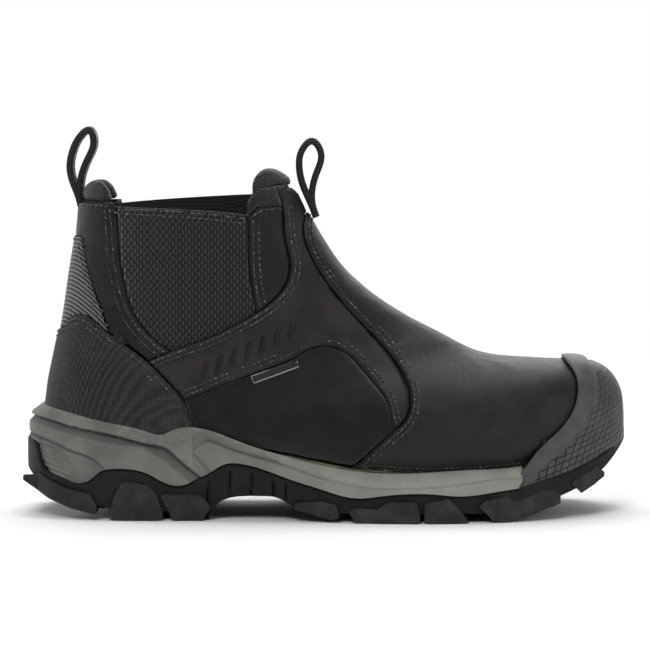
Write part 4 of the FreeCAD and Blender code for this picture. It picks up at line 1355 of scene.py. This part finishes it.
def woven(name, dark, light, pitch_mm, depth_mm, turn=0.0, rough=0.85, sheen=0.3):
    """Plain woven or knitted cloth: two crossing sets of yarn."""
    mat, tree, where = start_material(name)
    turned = add(tree, "ShaderNodeMapping", {"Vector": where, "Rotation": (0.0, turn, 0.0)}).outputs[0]
    xyz = add(tree, "ShaderNodeSeparateXYZ", {"Vector": turned}).outputs
    rate = 2 * math.pi / (pitch_mm * MM)
    wave_a = sine(tree, times(tree, xyz["X"], rate))
    wave_b = sine(tree, times(tree, xyz["Z"], rate))
    wave_c = sine(tree, times(tree, xyz["Y"], rate))
    weave = ramp(tree, times(tree, plus(tree, wave_a, wave_c), wave_b), -1.2, 1.2)
    fuzz = noise_of(tree, where, 0.4, 3.0)
    colour = mixed(tree, weave, linear(dark), linear(light))
    normal = bumped(tree, (weave, depth_mm), (fuzz, 0.06))
    finish_material(tree, colour, rough, normal, Sheen_Weight=sheen, Sheen_Roughness=0.45)
    return mat


def twill(name, dark, light, pitch_mm, depth_mm):
    """Ribbed twill: raised cords running diagonally, crossed by fine yarn."""
    mat, tree, where = start_material(name)
    xyz = add(tree, "ShaderNodeSeparateXYZ", {"Vector": where}).outputs
    slant = plus(tree, xyz["X"], times(tree, xyz["Z"], 0.85))
    slant = plus(tree, slant, times(tree, xyz["Y"], 0.5))
    rib = sine(tree, times(tree, slant, 2 * math.pi / (pitch_mm * MM)))
    rib = ramp(tree, rib, -0.9, 0.8)
    fleck = ramp(tree, noise_of(tree, where, 0.7, 2.0), 0.45, 0.62)
    colour = mixed(tree, rib, linear(dark), linear(light))
    colour = mixed(tree, times(tree, fleck, 0.3), colour, linear("#0c0c0d"))
    normal = bumped(tree, (rib, depth_mm), (noise_of(tree, where, 0.5, 3.0), 0.08))
    finish_material(tree, colour, 0.8, normal, Sheen_Weight=0.3, Sheen_Roughness=0.4)
    return mat


def webbing_material(name, dark, light):
    """Narrow nylon webbing: ribs across the strap with a soft sheen."""
    mat, tree, where = start_material(name)
    xyz = add(tree, "ShaderNodeSeparateXYZ", {"Vector": where}).outputs
    rate = 2 * math.pi / (1.3 * MM)
    a = sine(tree, times(tree, plus(tree, xyz["Z"], xyz["Y"]), rate))
    b = sine(tree, times(tree, minus(tree, xyz["Z"], xyz["Y"]), rate))
    weave = ramp(tree, math_node(tree, "MAXIMUM", a, b), -0.6, 1.0)
    colour = mixed(tree, weave, linear(dark), linear(light))
    normal = bumped(tree, (weave, 0.22))
    finish_material(tree, colour, 0.62, normal, Sheen_Weight=0.4, Sheen_Roughness=0.35)
    return mat


def bumper_rubber():
    """Moulded rubber toe guard: satin black with crossing grooves low on the field and a plain bead."""
    mat, tree, where = start_material("bumper_rubber")
    xyz = add(tree, "ShaderNodeSeparateXYZ", {"Vector": where}).outputs
    reach = math_node(tree, "ABSOLUTE", minus(tree, xyz["Y"], 5 * MM))
    run = times(tree, minus(tree, xyz["X"], reach), 0.8)
    grooves = []
    for level_part, run_part, pitch in ((1.0, -0.30, 3.0), (-0.45, 1.0, 4.0)):
        across = plus(tree, times(tree, xyz["Z"], level_part),
                           times(tree, run, run_part))
        wave = sine(tree, times(tree, across, math.pi / (pitch * MM)))
        grooves.append(ramp(tree, math_node(tree, "ABSOLUTE", wave), 0.0, 0.34))
    grid = times(tree, grooves[0], grooves[1])
    inset = add(tree, "ShaderNodeAttribute", attribute_name="bead").outputs["Fac"]
    zone = times(tree, ramp(tree, inset, 4.0, 5.2), ramp(tree, xyz["Z"], 0.078, 0.070))
    carved = minus(tree, 1.0, times(tree, minus(tree, 1.0, grid), zone))
    # Painted shade: the moulded grooves of the grid are coloured near black.
    colour = mixed(tree, carved, linear("#060606"), mixed(tree, ramp(tree, noise_of(tree, where, 9.0), 0.3, 0.7),
                                                         linear("#434344"), linear("#505052")))
    normal = bumped(tree, (carved, 0.55), (noise_of(tree, where, 0.6, 3.0), 0.06))
    finish_material(tree, colour, 0.46, normal)
    return mat


def midsole_foam():
    """Injected midsole foam: warm matte grey, a knurled rim band in front and faint scuffs."""
    mat, tree, where = start_material("midsole_foam")
    xyz = add(tree, "ShaderNodeSeparateXYZ", {"Vector": where}).outputs
    cloud = ramp(tree, noise_of(tree, where, 16.0, 5.0), 0.3, 0.7)
    tone = plus(tree, times(tree, cloud, 0.3), ramp(tree, xyz["X"], -0.10, 0.05, 0.0, 0.7))
    colour = mixed(tree, tone, linear("#636360"), linear("#a8a7a0"))
    side = add(tree, "ShaderNodeAttribute", attribute_name="rim_band").outputs["Fac"]
    knurl = ramp(tree, cells_of(tree, where, 0.9, "F1", 0.25), 0.15, 0.5, 1.0, 0.0)
    depth = times(tree, knurl, side)
    # Painted shade: the groove attribute darkens the recessed band and the heel crease.
    groove = add(tree, "ShaderNodeAttribute", attribute_name="groove").outputs["Fac"]
    colour = mixed(tree, times(tree, groove, 0.85), colour, linear("#2a2927"))
    # Painted shade: the foam below the rim band is darkened, so that the upward-facing band reads lighter than
    # the wall under it.
    colour = mixed(tree, times(tree, minus(tree, 1.0, side), 0.35), colour,
                   linear("#63625f"))
    normal = bumped(tree, (depth, 0.22), (noise_of(tree, where, 0.5, 3.0), 0.05))
    finish_material(tree, colour, 0.66, normal)
    return mat


def outsole_rubber_material(name, dark, light):
    """Moulded outsole rubber: dull charcoal with a fine upright etched texture on the side faces."""
    mat, tree, where = start_material(name)
    etched = noise_of(tree, where, 0.8, 2.0, 0.5, (1.6, 1.6, 0.5))
    dust = ramp(tree, noise_of(tree, where, 10.0, 6.0), 0.35, 0.75)
    colour = mixed(tree, dust, linear(dark), linear(light))
    normal = bumped(tree, (etched, 0.22), (noise_of(tree, where, 0.35, 3.0), 0.06))
    finish_material(tree, colour, 0.62, normal)
    return mat


def thread_material():
    """Bonded polyester thread: dark grey with lighter worn specks."""
    mat, tree, where = start_material("thread")
    speck = ramp(tree, noise_of(tree, where, 1.6, 3.0), 0.5, 0.66)
    colour = mixed(tree, speck, linear("#2c2b2a"), linear("#77736d"))
    twist = add(tree, "ShaderNodeTexWave", {"Vector": where, "Scale": 1.0 / (0.5 * MM) / 20},
                bands_direction="DIAGONAL")
    normal = bumped(tree, (twist.outputs["Fac"], 0.08))
    finish_material(tree, colour, 0.55, normal, Sheen_Weight=0.2)
    return mat


def steel(name, light, scratch_mm):
    """Pressed sheet steel with drawn streaks."""
    mat, tree, where = start_material(name)
    streak = noise_of(tree, where, scratch_mm, 4.0, 0.6, (0.2, 1.0, 1.0))
    colour = mixed(tree, streak, linear("#6d6f72"), linear(light))
    rough = ramp(tree, streak, 0.3, 0.7, 0.28, 0.46)
    finish_material(tree, colour, rough, bumped(tree, (streak, 0.03)), Metallic=1.0)
    return mat


def plain_moulding(name, dark, light, rough, grain_mm=0.7):
    """Moulded or felted sheet: even colour broken by a fine grain."""
    mat, tree, where = start_material(name)
    grain = noise_of(tree, where, grain_mm, 3.0)
    colour = mixed(tree, ramp(tree, noise_of(tree, where, 12.0), 0.3, 0.7), linear(dark), linear(light))
    finish_material(tree, colour, rough, bumped(tree, (grain, 0.08)))
    return mat


def tag_material():
    """Woven damask label: black satin ground with a plain pale border line."""
    mat, tree, where = start_material("tag_weave")
    turned = add(tree, "ShaderNodeMapping", {"Vector": where, "Rotation": (0.0, TAG_TILT, 0.0)}).outputs[0]
    xyz = add(tree, "ShaderNodeSeparateXYZ", {"Vector": turned}).outputs
    weave = sine(tree, times(tree, xyz["Z"], 2 * math.pi / (0.5 * MM)))
    sides = []
    for axis, middle, half in (("X", TAG_MIDDLE[0], 12.7), ("Z", TAG_MIDDLE[1], 2.5)):
        off = math_node(tree, "ABSOLUTE", minus(tree, xyz[axis], middle * MM))
        sides.append(minus(tree, half * MM, off))
    inset = math_node(tree, "MINIMUM", *sides)
    line = times(tree, ramp(tree, inset, 0.35 * MM, 0.5 * MM), ramp(tree, inset, 1.0 * MM, 0.85 * MM))
    colour = mixed(tree, ramp(tree, weave, -1.0, 1.0), linear("#101011"), linear("#1b1b1c"))
    colour = mixed(tree, line, colour, linear("#9a9a98"))
    normal = bumped(tree, (ramp(tree, weave, -1.0, 1.0), 0.06))
    finish_material(tree, colour, 0.6, normal, Sheen_Weight=0.3)
    return mat


def dress(obj, *mats):
    obj.data.materials.clear()
    for mat in mats:
        obj.data.materials.append(mat)


stay_leather = leather("stay_leather", "#0e0d0d", "#181716", 11.0, 0.36, 0.52, crease_depth=0.45, coat=0.05)
quarter_leather = leather("quarter_leather", "#1d1a18", "#2a2624", 15.0, 0.46, 0.62, crease_depth=0.25)
side_nubuck, gore_cloth = nubuck(), honeycomb_gore()
mesh_cloth = woven("collar_mesh_cloth", "#0e0e0f", "#2c2c2e", 1.5, 0.3)
dress(built["vamp"], creased_vamp())
dress(built["heel_cover"], dotted_cover())
dress(built["achilles_patch"], twill("patch_twill", "#1c1c1e", "#77777b", 2.1, 0.4))
dress(built["backstay"], stay_leather)
for word in ("lateral", "medial"):
    dress(built[word + "_quarter"], quarter_leather)
    dress(built[word + "_side_panel"], side_nubuck)
    dress(built[word + "_front_stay"], stay_leather)
    dress(built[word + "_gore"], gore_cloth)
    dress(built[word + "_collar_mesh"], mesh_cloth)
thread_look = thread_material()
for obj in threads:
    dress(obj, thread_look)
dress(strap_bars, stay_leather)
dress(tag, tag_material())
dress(bumper, bumper_rubber())
dress(midsole, midsole_foam())
# One rubber in two copies: the wall is darker as painted shade, and the lugs are lighter as painted light.
dress(outsole, outsole_rubber_material("outsole_rubber_wall_painted_shade", "#0f0f10", "#1a1a1a"))
dress(lugs, outsole_rubber_material("outsole_rubber_lug_painted_light", "#242425", "#38383a"))
web_black = webbing_material("webbing_black", "#0b0b0c", "#232324")
web_red = webbing_material("webbing_red", "#3a0d10", "#6d1c20")
for obj, slots in ((rear_web, rear_slots), (front_web, front_slots)):
    dress(obj, web_black, web_red)
    obj.data.polygons.foreach_set("material_index", slots)
pad_cloth = woven("pad_knit", "#111112", "#333335", 1.4, 0.3)
dress(rear_pad, pad_cloth)
dress(front_pad, pad_cloth)
lining_cloth = woven("lining_knit", "#17171a", "#34343a", 1.8, 0.25)
INSIDE = {"steel_toe_cap": steel("cap_steel", "#a3a6a9", 1.6), "shank": steel("shank_steel", "#b4b6b8", 0.9),
          "toe_cap_edge_strip": plain_moulding("strip_rubber", "#1a1a1a", "#262626", 0.6),
          "heel_counter": plain_moulding("counter_board", "#8d8474", "#a49a88", 0.75),
          "insole_board": plain_moulding("insole_fibre", "#a79c84", "#c2b79e", 0.85),
          "footbed": plain_moulding("footbed_foam", "#2a2a2d", "#3b3b3f", 0.8, 1.2),
          "footbed_top_cloth": woven("footbed_cloth", "#1c1c1f", "#3a3a40", 1.2, 0.2)}
for name, obj in nodes.items():
    if name in INSIDE:
        dress(obj, INSIDE[name])
    elif name.endswith("lining"):
        dress(obj, lining_cloth)


def mark(obj, name, value_at):
    """A point attribute computed from each vertex's place in millimetres."""
    co = np.zeros(len(obj.data.vertices) * 3)
    obj.data.vertices.foreach_get("co", co)
    point_attribute(obj, name, value_at(co.reshape(-1, 3) / MM))


# Painted shade: darkness for the recessed band under the midsole rim, strongest at its top, and for the heel
# crease.
def groove_shade_of(p):
    x, z = p[:, 0], p[:, 2]
    zb, zl = level(BAND_LINE, x), level(BAND_LOW, x)
    s = (zb - z) / np.maximum(zb - zl, 0.1)
    near = np.where((s > -0.12) & (s < 0.95) & (x < -58), np.where(s < 0.16, 1.0, 0.66 - 0.2 * s), 0)
    crease = np.where(x < -111, np.exp(-((z - level(CREASE, x)) / 0.6) ** 2), 0)
    return np.maximum(near, crease)


def rim_band_of(p):
    x, z = p[:, 0], p[:, 2]
    line = np.where(x < -66, level(BAND_LINE, x), level(FORE_LINE, x))
    return smoothstep(z - line, 0.0, 0.8)


def field_inset_of(p):
    field = inside(p[:, [0, 2]], poly(BEAD_EDGE, [(100, LOW), (RIGHT, LOW), (RIGHT, 90)]))
    return np.where(field, line_gap(p, BEAD_EDGE) + 3.0, 0.0)


mark(midsole, "groove", groove_shade_of)
mark(midsole, "rim_band", rim_band_of)
mark(bumper, "bead", field_inset_of)

# ---- floor, light and camera ------------------------------------------------------------------------
ROOM = 3000                    # half size of the studio
floor = mesh_object("floor", [(-ROOM, -ROOM, 0), (ROOM, -ROOM, 0), (ROOM, ROOM, 0), (-ROOM, ROOM, 0)],
                    [(0, 1, 2, 3)], False)
# White paper sweep: matt under the boot, evenly bright further out so that no horizon shows.
mat, tree, where = start_material("floor_paper")
paper = add(tree, "ShaderNodeBsdfDiffuse", {"Color": linear("#fbfbfb")})
lit = add(tree, "ShaderNodeEmission", {"Color": linear("#ffffff"), "Strength": 1.0})
away = add(tree, "ShaderNodeVectorMath", {0: where}, operation="LENGTH").outputs["Value"]
blend = add(tree, "ShaderNodeMixShader",
            {0: ramp(tree, away, 0.30, 0.95), 1: paper.outputs[0], 2: lit.outputs[0]})
add(tree, "ShaderNodeOutputMaterial", {"Surface": blend.outputs[0]})
dress(floor, mat)
# The bright backdrop stands 2.6 m behind the boot and only rims its outline.
backdrop = mesh_object("backdrop", [(-ROOM, 2600, 0), (ROOM, 2600, 0), (ROOM, 2600, 2400), (-ROOM, 2600, 2400)],
                       [(0, 1, 2, 3)], False)
glow, tree, where = start_material("backdrop_paper")
shine = add(tree, "ShaderNodeEmission", {"Color": linear("#ffffff"), "Strength": 1.0})
add(tree, "ShaderNodeOutputMaterial", {"Surface": shine.outputs[0]})
dress(backdrop, glow)


def softbox(name, place, target, size, power):
    """A large square studio light aimed at a point."""
    lamp = bpy.data.lights.new(name, "AREA")
    lamp.shape = "RECTANGLE"
    lamp.size, lamp.size_y = size
    lamp.energy = power
    obj = bpy.data.objects.new(name, lamp)
    bpy.context.scene.collection.objects.link(obj)
    obj.location = place
    obj.rotation_euler = (Vector(target) - Vector(place)).to_track_quat("-Z", "Y").to_euler()
    return obj


softbox("key_light", (-0.35, -1.2, 1.25), (0, 0, 0.08), (0.7, 0.7), 11.0)
softbox("top_light", (0.05, 0.25, 1.3), (0, 0, 0.08), (1.2, 0.9), 13.0)
softbox("toe_light", (1.25, -0.7, 0.55), (0.08, 0, 0.06), (0.5, 0.8), 3.5)
softbox("heel_light", (-1.2, 0.35, 0.6), (-0.1, 0, 0.1), (0.5, 0.8), 4.5)
softbox("far_light", (0.4, 1.3, 0.8), (0, 0, 0.1), (0.8, 0.6), 3.0)
world = bpy.data.worlds.new("studio")
world.use_nodes = True
world.node_tree.nodes["Background"].inputs["Color"].default_value = linear("#ffffff")
world.node_tree.nodes["Background"].inputs["Strength"].default_value = 0.10
bpy.context.scene.world = world
bpy.context.scene.view_settings.view_transform = "Standard"

CAMERA_RISE = math.radians(4.5)
CAMERA_DISTANCE = 1.5
AIM = Vector((0.0, 0.0, 0.0952))
lens = bpy.data.cameras.new("camera")
lens.lens = 161.9
lens.sensor_width = 36.0
camera = bpy.data.objects.new("camera", lens)
bpy.context.scene.collection.objects.link(camera)
camera.location = AIM + Vector((0, -math.cos(CAMERA_RISE), math.sin(CAMERA_RISE))) * CAMERA_DISTANCE
camera.rotation_euler = (AIM - camera.location).to_track_quat("-Z", "Y").to_euler()
bpy.context.scene.camera = camera
